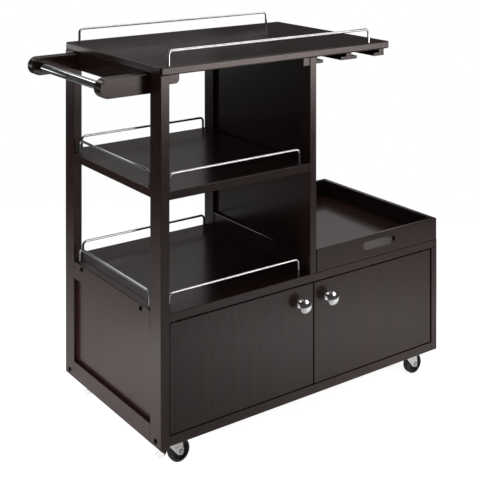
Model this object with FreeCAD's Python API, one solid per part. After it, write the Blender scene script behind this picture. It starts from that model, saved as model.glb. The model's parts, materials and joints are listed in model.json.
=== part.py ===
"""Wheeled kitchen cart with cabinet, open shelves, tray, stemware rack and push handle.

Sizes are in millimetres. While a piece is shaped, x runs right from the outer faces of the left
posts, y runs back from the front faces of the posts and z runs up from the floor.
"""
import FreeCAD, Part
import math
import os
from FreeCAD import Vector

# Overall sizes
DEPTH = 453.0
CABINET_LENGTH = 834.0
BAY_LENGTH = 389.5
TOP_LENGTH = 662.0
CASTER_HEIGHT = 69.0
CABINET_HEIGHT = 353.0
SHELF_HEIGHT = 615.0
TOP_HEIGHT = 881.0

# Wood stock
FRAME_THICKNESS = 19.0
FRAME_WIDTH = 42.0
POST_THICKNESS = 22.0
POST_WIDTH = 45.0
PANEL_THICKNESS = 4.0
PANEL_LAP = 8.0
PANEL_RECESS = 9.5
CARCASS_THICKNESS = 19.0
BOTTOM_THICKNESS = 22.0
CARCASS_SETBACK = 4.0
POST_FOOT = 2.0
SHELF_THICKNESS = 19.0
SHELF_SETBACK = 2.5
TOP_THICKNESS = 18.0
TOP_CORNER_RADIUS = 5.0
TOP_EDGE_RADIUS = 3.0
BACK_THICKNESS = 5.0
BACK_INSET = 2.0
BACK_GROOVE = 6.0
EASE = 1.0

# Cleats under the top
CLEAT_HEIGHT = 19.5
POST_CLEAT_WIDTH = 25.5
POST_CLEAT_RADIUS = 10.0
DIVIDER_CLEAT_WIDTH = 19.0
CLEAT_SETBACK = 2.0

# Doors
DOOR_THICKNESS = 18.0
DOOR_SETBACK = 6.0
DOOR_SPLIT = 424.0
DOOR_MEETING_GAP = 3.0
DOOR_POST_GAP = 4.0
DOOR_END_GAP = 3.5
DOOR_TOP_GAP = 3.0
DOOR_BOTTOM_GAP = 1.0
PIVOT_INSET = 14.0
PIVOT_RADIUS = 3.0
PIVOT_IN_DOOR = 18.0
PIVOT_IN_BOARD = 10.0
RUNNING_CLEARANCE = 0.08

# Knobs
KNOB_EDGE_INSET = 40.0
KNOB_TOP_INSET = 40.0
KNOB_BASE_RADIUS = 10.5
KNOB_BASE_HEIGHT = 1.8
KNOB_NECK_RADIUS = 4.6
KNOB_NECK_START = 8.0
KNOB_NECK_END = 15.0
KNOB_HEAD_RADIUS = 16.5
KNOB_HEAD_RIM = 2.2
KNOB_HEAD_START = 22.0
KNOB_REACH = 33.0
STUD_RADIUS = 2.0
STUD_LENGTH = 14.0

# Catch
CATCH_LENGTH = 68.0
CATCH_DEPTH = 18.0
CATCH_HEIGHT = 15.0
CATCH_AIR = 0.4
STRIKER_LENGTH = 26.0
STRIKER_HEIGHT = 14.0
STRIKER_THICKNESS = 1.2
STRIKER_EDGE_INSET = 5.0
STRIKER_TOP_INSET = 1.5

# Push handle
ARM_THICKNESS = 28.0
HANDLE_REACH = 121.0
HANDLE_DROP = 1.5
BAR_RADIUS = 9.5
BAR_BORE = 8.0
BAR_SOCKET = 12.0
FIT = 0.05

# Stemware rack
RACK_SETBACK = 8.0
RACK_DROP = 17.0
RACK_LIP_THICKNESS = 8.0
RACK_LIP = 18.0
RACK_STEM = 16.0
RACK_WALL_STEM = 6.0
RACK_SLOT = 55.0
RACK_LIP_RADIUS = 2.5

# Guard rails
ROD_RADIUS = 3.0
ROD_RISE = 33.0
ROD_BEND = 10.0
ROD_SEAT = 12.0
TOP_RAIL_START = 24.5
TOP_RAIL_SPAN = 574.5
TOP_RAIL_INSET = 8.0
TOP_RAIL_BACK = 27.0
SHELF_RAIL_START = 32.0
SHELF_RAIL_SPAN = 358.0
SHELF_RAIL_INSET = 16.0
SHELF_RAIL_BACK = 25.0
CABINET_RAIL_START = 37.0
CABINET_RAIL_SPAN = 358.0
CABINET_RAIL_INSET = 24.5
CABINET_RAIL_BACK = 22.0
SIDE_RAIL_CLEARANCE = 17.0

# Tray
TRAY_LEFT_GAP = 2.0
TRAY_RIGHT_GAP = 0.5
TRAY_SETBACK = 4.5
TRAY_BACK_GAP = 3.0
TRAY_HEIGHT = 54.5
TRAY_WALL = 10.0
TRAY_FLOOR_THICKNESS = 4.0
TRAY_FLOOR_LIFT = 5.0
TRAY_GROOVE = 5.0
SLOT_LENGTH = 107.0
SLOT_HEIGHT = 20.0
SLOT_LEVEL = 31.0

# Bolts of the left end
BOLT_RADIUS = 3.0
BOLT_LENGTH = 50.0
BOLT_HEAD_RADIUS = 6.0
BOLT_HEAD_HEIGHT = 3.6
BOLT_HEAD_RIM = 0.7
BOLT_SOCKET = 4.0
BOLT_SOCKET_DEPTH = 2.2
RAIL_BOLT_INSET = 86.0

# Casters
WHEEL_RADIUS = 25.5
WHEEL_WIDTH = 18.0
TREAD_ROUND = 4.0
RIM_RADIUS = 18.0
WEB_WIDTH = 9.0
HUB_RADIUS = 8.0
HUB_SIDE_AIR = 0.3
AXLE_RADIUS = 3.0
AXLE_HEAD_RADIUS = 5.5
AXLE_HEAD_HEIGHT = 2.0
FORK_GAP = 22.0
FORK_PLATE = 2.0
FORK_TIP_RADIUS = 8.5
FORK_BRIDGE_LENGTH = 40.0
FORK_BRIDGE_HEIGHT = 63.0
FORK_NOSE_HEIGHT = 54.0
RACE_RADIUS = 17.0
RACE_AIR = 0.4
TRAIL = 20.0
PLATE_SIDE = 48.0
PLATE_THICKNESS = 2.5
PLATE_CORNER = 6.0
PLATE_HOLE_RADIUS = 2.5
PLATE_HOLE_INSET = 6.5
KINGPIN_RADIUS = 4.5
KINGPIN_HEAD_RADIUS = 8.0
KINGPIN_HEAD_HEIGHT = 2.5
SWIVEL_END_INSET = 58.0
SWIVEL_SIDE_INSET = 55.0

# Brake pedals
PEDAL_BACK = 8.0
PEDAL_HEIGHT = 47.0
PEDAL_BARREL = 4.5
PEDAL_PIN_RADIUS = 2.0
PEDAL_SIDE_AIR = 0.4
PEDAL_ARM = 4.0
PEDAL_TAB_LENGTH = 16.0
PEDAL_TAB_RISE = 4.0
PEDAL_TAB_THICKNESS = 5.0
PEDAL_TAB_WIDTH = 24.0
PEDAL_TAB_REACH = 30.0
PEDAL_TAB_DROP = 22.0
SHOE_RADIUS = 3.0
SHOE_REACH = 7.6
SHOE_TURN = 40.0

# Levels
BOTTOM_LOW = CASTER_HEIGHT
BOTTOM_HIGH = BOTTOM_LOW + BOTTOM_THICKNESS
CABINET_LOW = CABINET_HEIGHT - CARCASS_THICKNESS
SHELF_LOW = SHELF_HEIGHT - SHELF_THICKNESS
TOP_LOW = TOP_HEIGHT - TOP_THICKNESS
POST_LOW = BOTTOM_LOW - POST_FOOT
DOOR_LOW = BOTTOM_HIGH + DOOR_BOTTOM_GAP
DOOR_HIGH = CABINET_LOW - DOOR_TOP_GAP
KNOB_LEVEL = DOOR_HIGH - KNOB_TOP_INSET
TRAY_HIGH = CABINET_HEIGHT + TRAY_HEIGHT
HANDLE_LEVEL = TOP_LOW - HANDLE_DROP - FRAME_WIDTH / 2
RAIL_BOLT_LEVEL = CABINET_HEIGHT - CARCASS_THICKNESS / 2
POST_BOLT_LEVEL = BOTTOM_LOW + BOTTOM_THICKNESS / 2

# Stations along the length
DIVIDER_LEFT = POST_THICKNESS + BAY_LENGTH
DIVIDER_RIGHT = DIVIDER_LEFT + FRAME_THICKNESS
END_LEFT = CABINET_LENGTH - CARCASS_THICKNESS
LEFT_DOOR = (POST_THICKNESS + DOOR_POST_GAP, DOOR_SPLIT - DOOR_MEETING_GAP / 2)
RIGHT_DOOR = (DOOR_SPLIT + DOOR_MEETING_GAP / 2, END_LEFT - DOOR_END_GAP)
LEFT_PIVOT = LEFT_DOOR[0] + PIVOT_INSET
RIGHT_PIVOT = RIGHT_DOOR[1] - PIVOT_INSET
LEFT_KNOB = LEFT_DOOR[1] - KNOB_EDGE_INSET
RIGHT_KNOB = RIGHT_DOOR[0] + KNOB_EDGE_INSET
BAR_STATION = FRAME_WIDTH / 2 - HANDLE_REACH
TRAY_SPAN = (DIVIDER_RIGHT + TRAY_LEFT_GAP, CABINET_LENGTH - TRAY_RIGHT_GAP)
SIDE_RAIL_STATION = FRAME_THICKNESS / 2

# Stations from front to back
BACK_POST = DEPTH - POST_WIDTH
ARM_FRONT = POST_WIDTH + ARM_THICKNESS
ARM_BACK = BACK_POST - ARM_THICKNESS
DIVIDER_FRONT = CARCASS_SETBACK + FRAME_WIDTH
DIVIDER_BACK = DEPTH - FRAME_WIDTH
DOOR_BACK = DOOR_SETBACK + DOOR_THICKNESS
PIVOT_STATION = DOOR_SETBACK + DOOR_THICKNESS / 2
TRAY_DEPTH = (TRAY_SETBACK, DEPTH - TRAY_BACK_GAP)

# Caster geometry
FORK_OUT = FORK_GAP / 2 + FORK_PLATE
SWIVELS = {
    "front_left": (SWIVEL_END_INSET, SWIVEL_SIDE_INSET),
    "front_right": (CABINET_LENGTH - SWIVEL_END_INSET, SWIVEL_SIDE_INSET),
    "back_left": (SWIVEL_END_INSET, DEPTH - SWIVEL_SIDE_INSET),
    "back_right": (CABINET_LENGTH - SWIVEL_END_INSET, DEPTH - SWIVEL_SIDE_INSET),
}

# The shared frame stands at the middle of the footprint, on the floor
ORIGIN = Vector((CABINET_LENGTH - HANDLE_REACH) / 2, (DEPTH + DOOR_SETBACK - KNOB_REACH) / 2, 0)


def box(x, y, z):
    """Plain block between pairs of x, y and z stations."""
    return Part.makeBox(x[1] - x[0], y[1] - y[0], z[1] - z[0], Vector(x[0], y[0], z[0]))


def board(x, y, z):
    """Board between pairs of stations with all its arrises eased."""
    block = box(x, y, z)
    return block.makeChamfer(EASE, block.Edges)


def rod(radius, start, end):
    """Round bar between two points."""
    along = end - start
    return Part.makeCylinder(radius, along.Length, start, along)


def prism(points, start, along):
    """Straight prism over a polygon given in the x-z plane at y = start."""
    corners = [Vector(x, start, z) for x, z in points]
    return Part.Face(Part.makePolygon(corners + corners[:1])).extrude(Vector(0, along, 0))


def turned(points, centre, axis):
    """Solid turned from (radius, height) pairs; a triple of pairs makes an arc."""
    edges = []
    for piece in points:
        spots = [Vector(r, 0, h) for r, h in piece]
        curve = Part.Arc(*spots) if len(spots) == 3 else Part.LineSegment(*spots)
        edges.append(curve.toShape())
    face = Part.Face(Part.Wire(edges))
    solid = face.revolve(Vector(0, 0, 0), Vector(0, 0, 1), 360)
    solid.Placement = FreeCAD.Placement(centre, FreeCAD.Rotation(Vector(0, 0, 1), axis))
    return solid


def dome(radius, low, high):
    """Arc of a spherical cap from its rim to its crown on the axis."""
    rise = high - low
    ball = (radius ** 2 + rise ** 2) / (2 * rise)
    half = math.asin(radius / abs(ball)) / 2
    return (radius, low), (abs(ball) * math.sin(half), high - ball * (1 - math.cos(half))), (0, high)


def edges_along(shape, direction):
    """Straight edges of a shape that run along a direction."""
    found = []
    for edge in shape.Edges:
        first, last = edge.Vertexes[0].Point, edge.Vertexes[-1].Point
        if (last - first).cross(direction).Length < 1e-6:
            found.append(edge)
    return found


def frame_panel_room(x, y, z):
    """Space of a thin panel that laps into the frame round the opening y by z."""
    return box(x, (y[0] - PANEL_LAP, y[1] + PANEL_LAP), (z[0] - PANEL_LAP, z[1] + PANEL_LAP))


def left_panel_room():
    """Space of the thin panel of the left end in the grooves of its frame."""
    return frame_panel_room(
        (PANEL_RECESS, PANEL_RECESS + PANEL_THICKNESS),
        (POST_WIDTH, BACK_POST),
        (POST_LOW + FRAME_WIDTH, CABINET_HEIGHT - FRAME_WIDTH),
    )


def divider_panel_room():
    """Space of the thin panel of the divider in the grooves of its frame."""
    return frame_panel_room(
        (DIVIDER_LEFT + PANEL_RECESS, DIVIDER_LEFT + PANEL_RECESS + PANEL_THICKNESS),
        (DIVIDER_FRONT, DIVIDER_BACK),
        (CABINET_HEIGHT + FRAME_WIDTH, TOP_LOW - FRAME_WIDTH),
    )


def back_panel_room():
    """Space of the cabinet back in the grooves round it."""
    return box(
        (POST_THICKNESS - BACK_GROOVE, END_LEFT + BACK_GROOVE),
        (DEPTH - BACK_INSET - BACK_THICKNESS, DEPTH - BACK_INSET),
        (BOTTOM_HIGH - BACK_GROOVE, CABINET_LOW + BACK_GROOVE),
    )


def guard_rail_ends():
    """Feet of every guard rail on the surface it stands on."""
    side = (POST_WIDTH + SIDE_RAIL_CLEARANCE, BACK_POST - SIDE_RAIL_CLEARANCE)

    def along(start, span, y, z):
        return Vector(start, y, z), Vector(start + span, y, z)

    def deep(z):
        return Vector(SIDE_RAIL_STATION, side[0], z), Vector(SIDE_RAIL_STATION, side[1], z)

    top = (TOP_RAIL_START, TOP_RAIL_SPAN)
    shelf = (SHELF_RAIL_START, SHELF_RAIL_SPAN)
    cabinet = (CABINET_RAIL_START, CABINET_RAIL_SPAN)
    return {
        "top_front_rail": along(*top, TOP_RAIL_INSET, TOP_HEIGHT),
        "top_back_rail": along(*top, DEPTH - TOP_RAIL_BACK, TOP_HEIGHT),
        "shelf_front_rail": along(*shelf, SHELF_SETBACK + SHELF_RAIL_INSET, SHELF_HEIGHT),
        "shelf_back_rail": along(*shelf, DEPTH - SHELF_RAIL_BACK, SHELF_HEIGHT),
        "shelf_left_rail": deep(SHELF_HEIGHT),
        "cabinet_front_rail": along(*cabinet, CARCASS_SETBACK + CABINET_RAIL_INSET, CABINET_HEIGHT),
        "cabinet_back_rail": along(*cabinet, DEPTH - CABINET_RAIL_BACK, CABINET_HEIGHT),
        "cabinet_left_rail": deep(CABINET_HEIGHT),
    }


RAIL_ENDS = guard_rail_ends()


def guard_rail(name):
    """Rod bent to an inverted U, its feet let into the board below."""
    left, right = RAIL_ENDS[name]
    up = Vector(0, 0, 1)
    way = (right - left).normalize()
    rise = up * (ROD_RISE - ROD_BEND)
    lean = ROD_BEND * (1 - math.sqrt(0.5))

    def bend(foot, inward):
        start = foot + rise
        middle = foot + up * (ROD_RISE - lean) + inward * lean
        return start, middle, foot + up * ROD_RISE + inward * ROD_BEND

    first = bend(left, way)
    second = bend(right, way * -1)
    path = Part.Wire([
        Part.makeLine(left - up * ROD_SEAT, first[0]),
        Part.Arc(*first).toShape(),
        Part.makeLine(first[2], second[2]),
        Part.Arc(*second[::-1]).toShape(),
        Part.makeLine(second[0], right - up * ROD_SEAT),
    ])
    section = Part.Face(Part.Wire(Part.makeCircle(ROD_RADIUS, left - up * ROD_SEAT, up)))
    return path.makePipe(section)


def drill_rail_feet(shape, names):
    """Holes for the feet of the named guard rails."""
    down = Vector(0, 0, -ROD_SEAT)
    for name in names:
        for foot in RAIL_ENDS[name]:
            shape = shape.cut(rod(ROD_RADIUS + FIT, foot, foot + down))
    return shape


def bolt_spots():
    """Centres of the bolt heads on the outer face of the left end."""
    return {
        "rail": [Vector(0, y, RAIL_BOLT_LEVEL) for y in (RAIL_BOLT_INSET, DEPTH - RAIL_BOLT_INSET)],
        "front_post": [Vector(0, POST_WIDTH / 2, POST_BOLT_LEVEL)],
        "back_post": [Vector(0, DEPTH - POST_WIDTH / 2, POST_BOLT_LEVEL)],
    }


BOLTS = bolt_spots()


def drill_bolts(shape, places):
    """Holes for the bolts at the named places."""
    for place in places:
        for spot in BOLTS[place]:
            shape = shape.cut(rod(BOLT_RADIUS + FIT, spot, spot + Vector(BOLT_LENGTH, 0, 0)))
    return shape


def frame_bolt(spot):
    """Domed socket-head bolt that comes in from the left."""
    r, h = BOLT_HEAD_RADIUS, BOLT_HEAD_HEIGHT
    bolt = turned(
        [
            ((0, -BOLT_LENGTH), (BOLT_RADIUS, -BOLT_LENGTH)),
            ((BOLT_RADIUS, -BOLT_LENGTH), (BOLT_RADIUS, 0)),
            ((BOLT_RADIUS, 0), (r, 0)),
            ((r, 0), (r, BOLT_HEAD_RIM)),
            dome(r, BOLT_HEAD_RIM, h),
            ((0, h), (0, -BOLT_LENGTH)),
        ],
        spot,
        Vector(-1, 0, 0),
    )
    flat = BOLT_SOCKET / math.sqrt(3)
    corners = []
    for step in range(7):
        angle = math.radians(60 * step)
        corners.append(spot + Vector(-h, flat * math.cos(angle), flat * math.sin(angle)))
    socket = Part.Face(Part.makePolygon(corners)).extrude(Vector(BOLT_SOCKET_DEPTH, 0, 0))
    return bolt.cut(socket)


def top_panel():
    """Top with rounded corners and rounded edges."""
    block = box((0, TOP_LENGTH), (0, DEPTH), (TOP_LOW, TOP_HEIGHT))
    block = block.makeFillet(TOP_CORNER_RADIUS, edges_along(block, Vector(0, 0, 1)))
    rims = [e for e in block.Edges if abs(e.BoundBox.ZLength) < 1e-6]
    block = block.makeFillet(TOP_EDGE_RADIUS, rims)
    return drill_rail_feet(block, ["top_front_rail", "top_back_rail"])


def top_cleats():
    """Strips that carry the top, one by the posts and one by the divider."""
    y = (CLEAT_SETBACK, DEPTH - CLEAT_SETBACK)
    z = (TOP_LOW - CLEAT_HEIGHT, TOP_LOW)
    by_post = box((POST_THICKNESS, POST_THICKNESS + POST_CLEAT_WIDTH), y, z)
    low = []
    for edge in edges_along(by_post, Vector(0, 1, 0)):
        spot = edge.CenterOfMass
        if spot.z < TOP_LOW - CLEAT_HEIGHT / 2 and spot.x > POST_THICKNESS + POST_CLEAT_WIDTH / 2:
            low.append(edge)
    by_post = by_post.makeFillet(POST_CLEAT_RADIUS, low)
    depth = (CARCASS_SETBACK + CLEAT_SETBACK, DEPTH - CLEAT_SETBACK)
    by_divider = board((DIVIDER_LEFT - DIVIDER_CLEAT_WIDTH, DIVIDER_LEFT), depth, z)
    return [by_post, by_divider]


def left_post(y, bolt_place):
    """Post of the left end, rebated for its panel and drilled for the lower bolt."""
    post = board((0, POST_THICKNESS), y, (POST_LOW, TOP_LOW))
    post = post.cut(left_panel_room()).cut(back_panel_room())
    return drill_bolts(post, [bolt_place])


def left_end_top_rail():
    """Rail between the two handle arms, under the top."""
    return board((0, POST_THICKNESS), (ARM_FRONT, ARM_BACK), (TOP_LOW - FRAME_WIDTH, TOP_LOW))


def left_end_middle_rail():
    """Rail level with the cabinet top, bolted to it."""
    z = (CABINET_HEIGHT - FRAME_WIDTH, CABINET_HEIGHT)
    rail = board((0, POST_THICKNESS), (POST_WIDTH, BACK_POST), z)
    rail = drill_rail_feet(rail.cut(left_panel_room()), ["cabinet_left_rail"])
    return drill_bolts(rail, ["rail"])


def left_end_bottom_rail():
    """Rail at the foot of the left end."""
    rail = board((0, POST_THICKNESS), (POST_WIDTH, BACK_POST), (POST_LOW, POST_LOW + FRAME_WIDTH))
    return rail.cut(left_panel_room())


def divider_stile(y):
    """Upright of the divider."""
    stile = board((DIVIDER_LEFT, DIVIDER_RIGHT), y, (CABINET_HEIGHT, TOP_LOW))
    return stile.cut(divider_panel_room())


def divider_rail(z):
    """Cross rail of the divider between its stiles."""
    rail = board((DIVIDER_LEFT, DIVIDER_RIGHT), (DIVIDER_FRONT, DIVIDER_BACK), z)
    return rail.cut(divider_panel_room())


def middle_shelf():
    """Shelf notched round both left posts."""
    shelf = box((0, DIVIDER_LEFT), (SHELF_SETBACK, DEPTH - SHELF_SETBACK), (SHELF_LOW, SHELF_HEIGHT))
    for y in ((0, POST_WIDTH), (BACK_POST, DEPTH)):
        shelf = shelf.cut(box((0, POST_THICKNESS), y, (SHELF_LOW, SHELF_HEIGHT)))
    rims = [e for e in shelf.Edges if abs(e.BoundBox.ZLength) < 1e-6]
    shelf = shelf.makeChamfer(EASE, rims)
    return drill_rail_feet(shelf, ["shelf_front_rail", "shelf_back_rail", "shelf_left_rail"])


def pivot_pins(x):
    """Upper and lower pivot pins of a door."""
    spot = Vector(x, PIVOT_STATION, 0)
    pins = []
    for z in (
        (BOTTOM_HIGH - PIVOT_IN_BOARD, DOOR_LOW + PIVOT_IN_DOOR),
        (DOOR_HIGH - PIVOT_IN_DOOR, CABINET_LOW + PIVOT_IN_BOARD),
    ):
        pins.append(rod(PIVOT_RADIUS, spot + Vector(0, 0, z[0]), spot + Vector(0, 0, z[1])))
    return pins


def drill_pivots(shape, z):
    """Sockets in a board for the pivot pins of both doors."""
    for x in (LEFT_PIVOT, RIGHT_PIVOT):
        spot = Vector(x, PIVOT_STATION, 0)
        hole = rod(PIVOT_RADIUS + RUNNING_CLEARANCE, spot + Vector(0, 0, z[0]), spot + Vector(0, 0, z[1]))
        shape = shape.cut(hole)
    return shape


def cabinet_top():
    """Long board over the cabinet."""
    top = board((POST_THICKNESS, CABINET_LENGTH), (CARCASS_SETBACK, DEPTH), (CABINET_LOW, CABINET_HEIGHT))
    top = drill_rail_feet(top.cut(back_panel_room()), ["cabinet_front_rail", "cabinet_back_rail"])
    top = drill_pivots(top, (CABINET_LOW, CABINET_LOW + PIVOT_IN_BOARD + DOOR_TOP_GAP))
    return drill_bolts(top, ["rail"])


def cabinet_bottom():
    """Floor of the cabinet, which the casters are fixed under."""
    floor = board((POST_THICKNESS, END_LEFT), (CARCASS_SETBACK, DEPTH), (BOTTOM_LOW, BOTTOM_HIGH))
    bore = (BOTTOM_HIGH - PIVOT_IN_BOARD - DOOR_BOTTOM_GAP, BOTTOM_HIGH)
    floor = drill_pivots(floor.cut(back_panel_room()), bore)
    return drill_bolts(floor, ["front_post", "back_post"])


def right_end_panel():
    """Solid right end of the cabinet."""
    panel = board((END_LEFT, CABINET_LENGTH), (CARCASS_SETBACK, DEPTH), (BOTTOM_LOW, CABINET_LOW))
    return panel.cut(back_panel_room())


def door(x, pivot, knob):
    """Plain slab door bored for its pivots and for the stud of its knob."""
    slab = board(x, (DOOR_SETBACK, DOOR_BACK), (DOOR_LOW, DOOR_HIGH))
    for pin in pivot_pins(pivot):
        slab = slab.cut(pin)
    spot = Vector(knob, DOOR_SETBACK, KNOB_LEVEL)
    return slab.cut(rod(STUD_RADIUS, spot, spot + Vector(0, STUD_LENGTH, 0)))


def knob(x):
    """Turned knob with a flared foot, a slim neck, a domed head and a stud."""
    neck, head = KNOB_NECK_RADIUS, KNOB_HEAD_RADIUS
    foot_top = KNOB_BASE_HEIGHT + 0.3 * (KNOB_NECK_START - KNOB_BASE_HEIGHT)
    foot_middle = (neck + 0.3 * (KNOB_BASE_RADIUS - neck), foot_top)
    cup_middle = (neck + 0.35 * (head - neck), KNOB_NECK_END + 0.75 * (KNOB_HEAD_START - KNOB_NECK_END))
    rim = KNOB_HEAD_START + KNOB_HEAD_RIM
    return turned(
        [
            ((0, -STUD_LENGTH), (STUD_RADIUS, -STUD_LENGTH)),
            ((STUD_RADIUS, -STUD_LENGTH), (STUD_RADIUS, 0)),
            ((STUD_RADIUS, 0), (KNOB_BASE_RADIUS, 0)),
            ((KNOB_BASE_RADIUS, 0), (KNOB_BASE_RADIUS, KNOB_BASE_HEIGHT)),
            ((KNOB_BASE_RADIUS, KNOB_BASE_HEIGHT), foot_middle, (neck, KNOB_NECK_START)),
            ((neck, KNOB_NECK_START), (neck, KNOB_NECK_END)),
            ((neck, KNOB_NECK_END), cup_middle, (head, KNOB_HEAD_START)),
            ((head, KNOB_HEAD_START), (head, rim)),
            dome(head, rim, KNOB_REACH),
            ((0, KNOB_REACH), (0, -STUD_LENGTH)),
        ],
        Vector(x, DOOR_SETBACK, KNOB_LEVEL),
        Vector(0, -1, 0),
    )


def striker(edge, way):
    """Steel plate on the back of a door near its meeting edge."""
    near = edge + way * STRIKER_EDGE_INSET
    x = sorted((near, near + way * STRIKER_LENGTH))
    z = (DOOR_HIGH - STRIKER_TOP_INSET - STRIKER_HEIGHT, DOOR_HIGH - STRIKER_TOP_INSET)
    return box(x, (DOOR_BACK, DOOR_BACK + STRIKER_THICKNESS), z)


def magnetic_catch():
    """Double catch under the cabinet top, behind both strikers."""
    front = DOOR_BACK + STRIKER_THICKNESS + CATCH_AIR
    x = (DOOR_SPLIT - CATCH_LENGTH / 2, DOOR_SPLIT + CATCH_LENGTH / 2)
    return board(x, (front, front + CATCH_DEPTH), (CABINET_LOW - CATCH_HEIGHT, CABINET_LOW))


def handle_bar():
    """Tube between the arms, its ends let into their sockets."""
    start = Vector(BAR_STATION, ARM_FRONT - BAR_SOCKET, HANDLE_LEVEL)
    end = Vector(BAR_STATION, ARM_BACK + BAR_SOCKET, HANDLE_LEVEL)
    return rod(BAR_RADIUS, start, end).cut(rod(BAR_BORE, start, end))


def handle_arm(y, socket):
    """Arm with a full-round outer end and a blind socket for the bar."""
    half = FRAME_WIDTH / 2
    low, high = HANDLE_LEVEL - half, HANDLE_LEVEL + half
    arm = box((BAR_STATION, POST_THICKNESS), y, (low, high))
    centre = Vector(BAR_STATION, y[0], HANDLE_LEVEL)
    arm = arm.fuse(rod(half, centre, centre + Vector(0, y[1] - y[0], 0))).removeSplitter()
    rims = [e for e in arm.Edges if e.BoundBox.YLength < 1e-6 and e.BoundBox.XMin < POST_THICKNESS - EASE]
    arm = arm.makeChamfer(EASE, rims)
    start = Vector(BAR_STATION, socket[0], HANDLE_LEVEL)
    end = Vector(BAR_STATION, socket[1], HANDLE_LEVEL)
    return arm.cut(rod(BAR_RADIUS + FIT, start, end))


def rack_rail(x, lip_left, lip_right):
    """Stemware rail whose stem spans x, with a lip under one or both sides."""
    low = TOP_LOW - RACK_DROP
    shelf = low + RACK_LIP_THICKNESS
    left, right = x[0] - lip_left, x[1] + lip_right
    outline = [(left, low), (right, low), (right, shelf), (x[1], shelf), (x[1], TOP_LOW), (x[0], TOP_LOW)]
    outline += [(x[0], shelf), (left, shelf)]
    if not lip_left:
        outline = outline[:6]
    if not lip_right:
        outline = outline[:2] + outline[4:]
    rail = prism(outline, RACK_SETBACK, DEPTH - 2 * RACK_SETBACK)
    tips = []
    for edge in edges_along(rail, Vector(0, 1, 0)):
        spot = edge.CenterOfMass
        at_tip = (lip_left and abs(spot.x - left) < 1e-6) or (lip_right and abs(spot.x - right) < 1e-6)
        if at_tip:
            tips.append(edge)
    return rail.makeFillet(RACK_LIP_RADIUS, tips)


def rack_stations():
    """Stem spans of the three stemware rails."""
    wall = (DIVIDER_RIGHT, DIVIDER_RIGHT + RACK_WALL_STEM)
    middle = wall[1] + RACK_LIP + RACK_SLOT + RACK_LIP
    far = middle + RACK_STEM + RACK_LIP + RACK_SLOT + RACK_LIP
    return wall, (middle, middle + RACK_STEM), (far, far + RACK_STEM)


def tray_floor_room():
    """Space of the tray floor in the grooves of the walls."""
    inset = TRAY_WALL - TRAY_GROOVE
    low = CABINET_HEIGHT + TRAY_FLOOR_LIFT
    return box(
        (TRAY_SPAN[0] + inset, TRAY_SPAN[1] - inset),
        (TRAY_DEPTH[0] + inset, TRAY_DEPTH[1] - inset),
        (low, low + TRAY_FLOOR_THICKNESS),
    )


def tray_long_wall(front):
    """Front or back wall of the tray with a round-ended hand slot."""
    y = (front, front + TRAY_WALL)
    wall = board(TRAY_SPAN, y, (CABINET_HEIGHT, TRAY_HIGH)).cut(tray_floor_room())
    half = (SLOT_LENGTH - SLOT_HEIGHT) / 2
    middle = (TRAY_SPAN[0] + TRAY_SPAN[1]) / 2
    level = CABINET_HEIGHT + SLOT_LEVEL
    slot = box((middle - half, middle + half), y, (level - SLOT_HEIGHT / 2, level + SLOT_HEIGHT / 2))
    for x in (middle - half, middle + half):
        slot = slot.fuse(rod(SLOT_HEIGHT / 2, Vector(x, y[0], level), Vector(x, y[1], level)))
    return wall.cut(slot.removeSplitter())


def tray_side_wall(left):
    """Side wall of the tray between the long walls."""
    y = (TRAY_DEPTH[0] + TRAY_WALL, TRAY_DEPTH[1] - TRAY_WALL)
    wall = board((left, left + TRAY_WALL), y, (CABINET_HEIGHT, TRAY_HIGH))
    return wall.cut(tray_floor_room())


def caster_plate(x, y):
    """Top plate of a caster with its race and the riveted kingpin."""
    low = BOTTOM_LOW - PLATE_THICKNESS
    half = PLATE_SIDE / 2
    plate = box((x - half, x + half), (y - half, y + half), (low, BOTTOM_LOW))
    plate = plate.makeFillet(PLATE_CORNER, edges_along(plate, Vector(0, 0, 1)))
    inset = half - PLATE_HOLE_INSET
    for i in (-1, 1):
        for j in (-1, 1):
            spot = Vector(x + i * inset, y + j * inset, low)
            plate = plate.cut(rod(PLATE_HOLE_RADIUS, spot, spot + Vector(0, 0, PLATE_THICKNESS)))
    bridge_low = FORK_BRIDGE_HEIGHT - FORK_PLATE
    head_high = bridge_low - RACE_AIR
    pin = rod(KINGPIN_RADIUS, Vector(x, y, head_high - KINGPIN_HEAD_HEIGHT), Vector(x, y, low))
    head = rod(KINGPIN_HEAD_RADIUS, Vector(x, y, head_high - KINGPIN_HEAD_HEIGHT), Vector(x, y, head_high))
    return plate.fuse(pin).fuse(head).removeSplitter()


def fork_outline():
    """Side outline of a fork about its swivel axis: bridge, slanted nose and round tip."""
    half = FORK_BRIDGE_LENGTH / 2
    r = FORK_TIP_RADIUS
    axle = Vector(TRAIL, 0, WHEEL_RADIUS)

    def tangent(spot, side):
        """Point of the round tip that the straight edge from spot touches."""
        away = axle - spot
        turn = math.asin(r / away.Length) * side
        reach = math.sqrt(away.Length ** 2 - r ** 2)
        base = math.atan2(away.z, away.x) + turn
        return spot + Vector(reach * math.cos(base), 0, reach * math.sin(base))

    nose = Vector(-half, 0, FORK_NOSE_HEIGHT)
    heel = Vector(half, 0, FORK_BRIDGE_HEIGHT)
    brow = Vector(-half, 0, FORK_BRIDGE_HEIGHT)
    front, back = tangent(nose, -1), tangent(heel, 1)
    tip = axle + (front + back - axle * 2).normalize() * r
    if (tip - axle).z > 0:
        tip = axle * 2 - tip
    return Part.Wire([
        Part.makeLine(brow, nose),
        Part.makeLine(nose, front),
        Part.Arc(front, tip, back).toShape(),
        Part.makeLine(back, heel),
        Part.makeLine(heel, brow),
    ])


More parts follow.
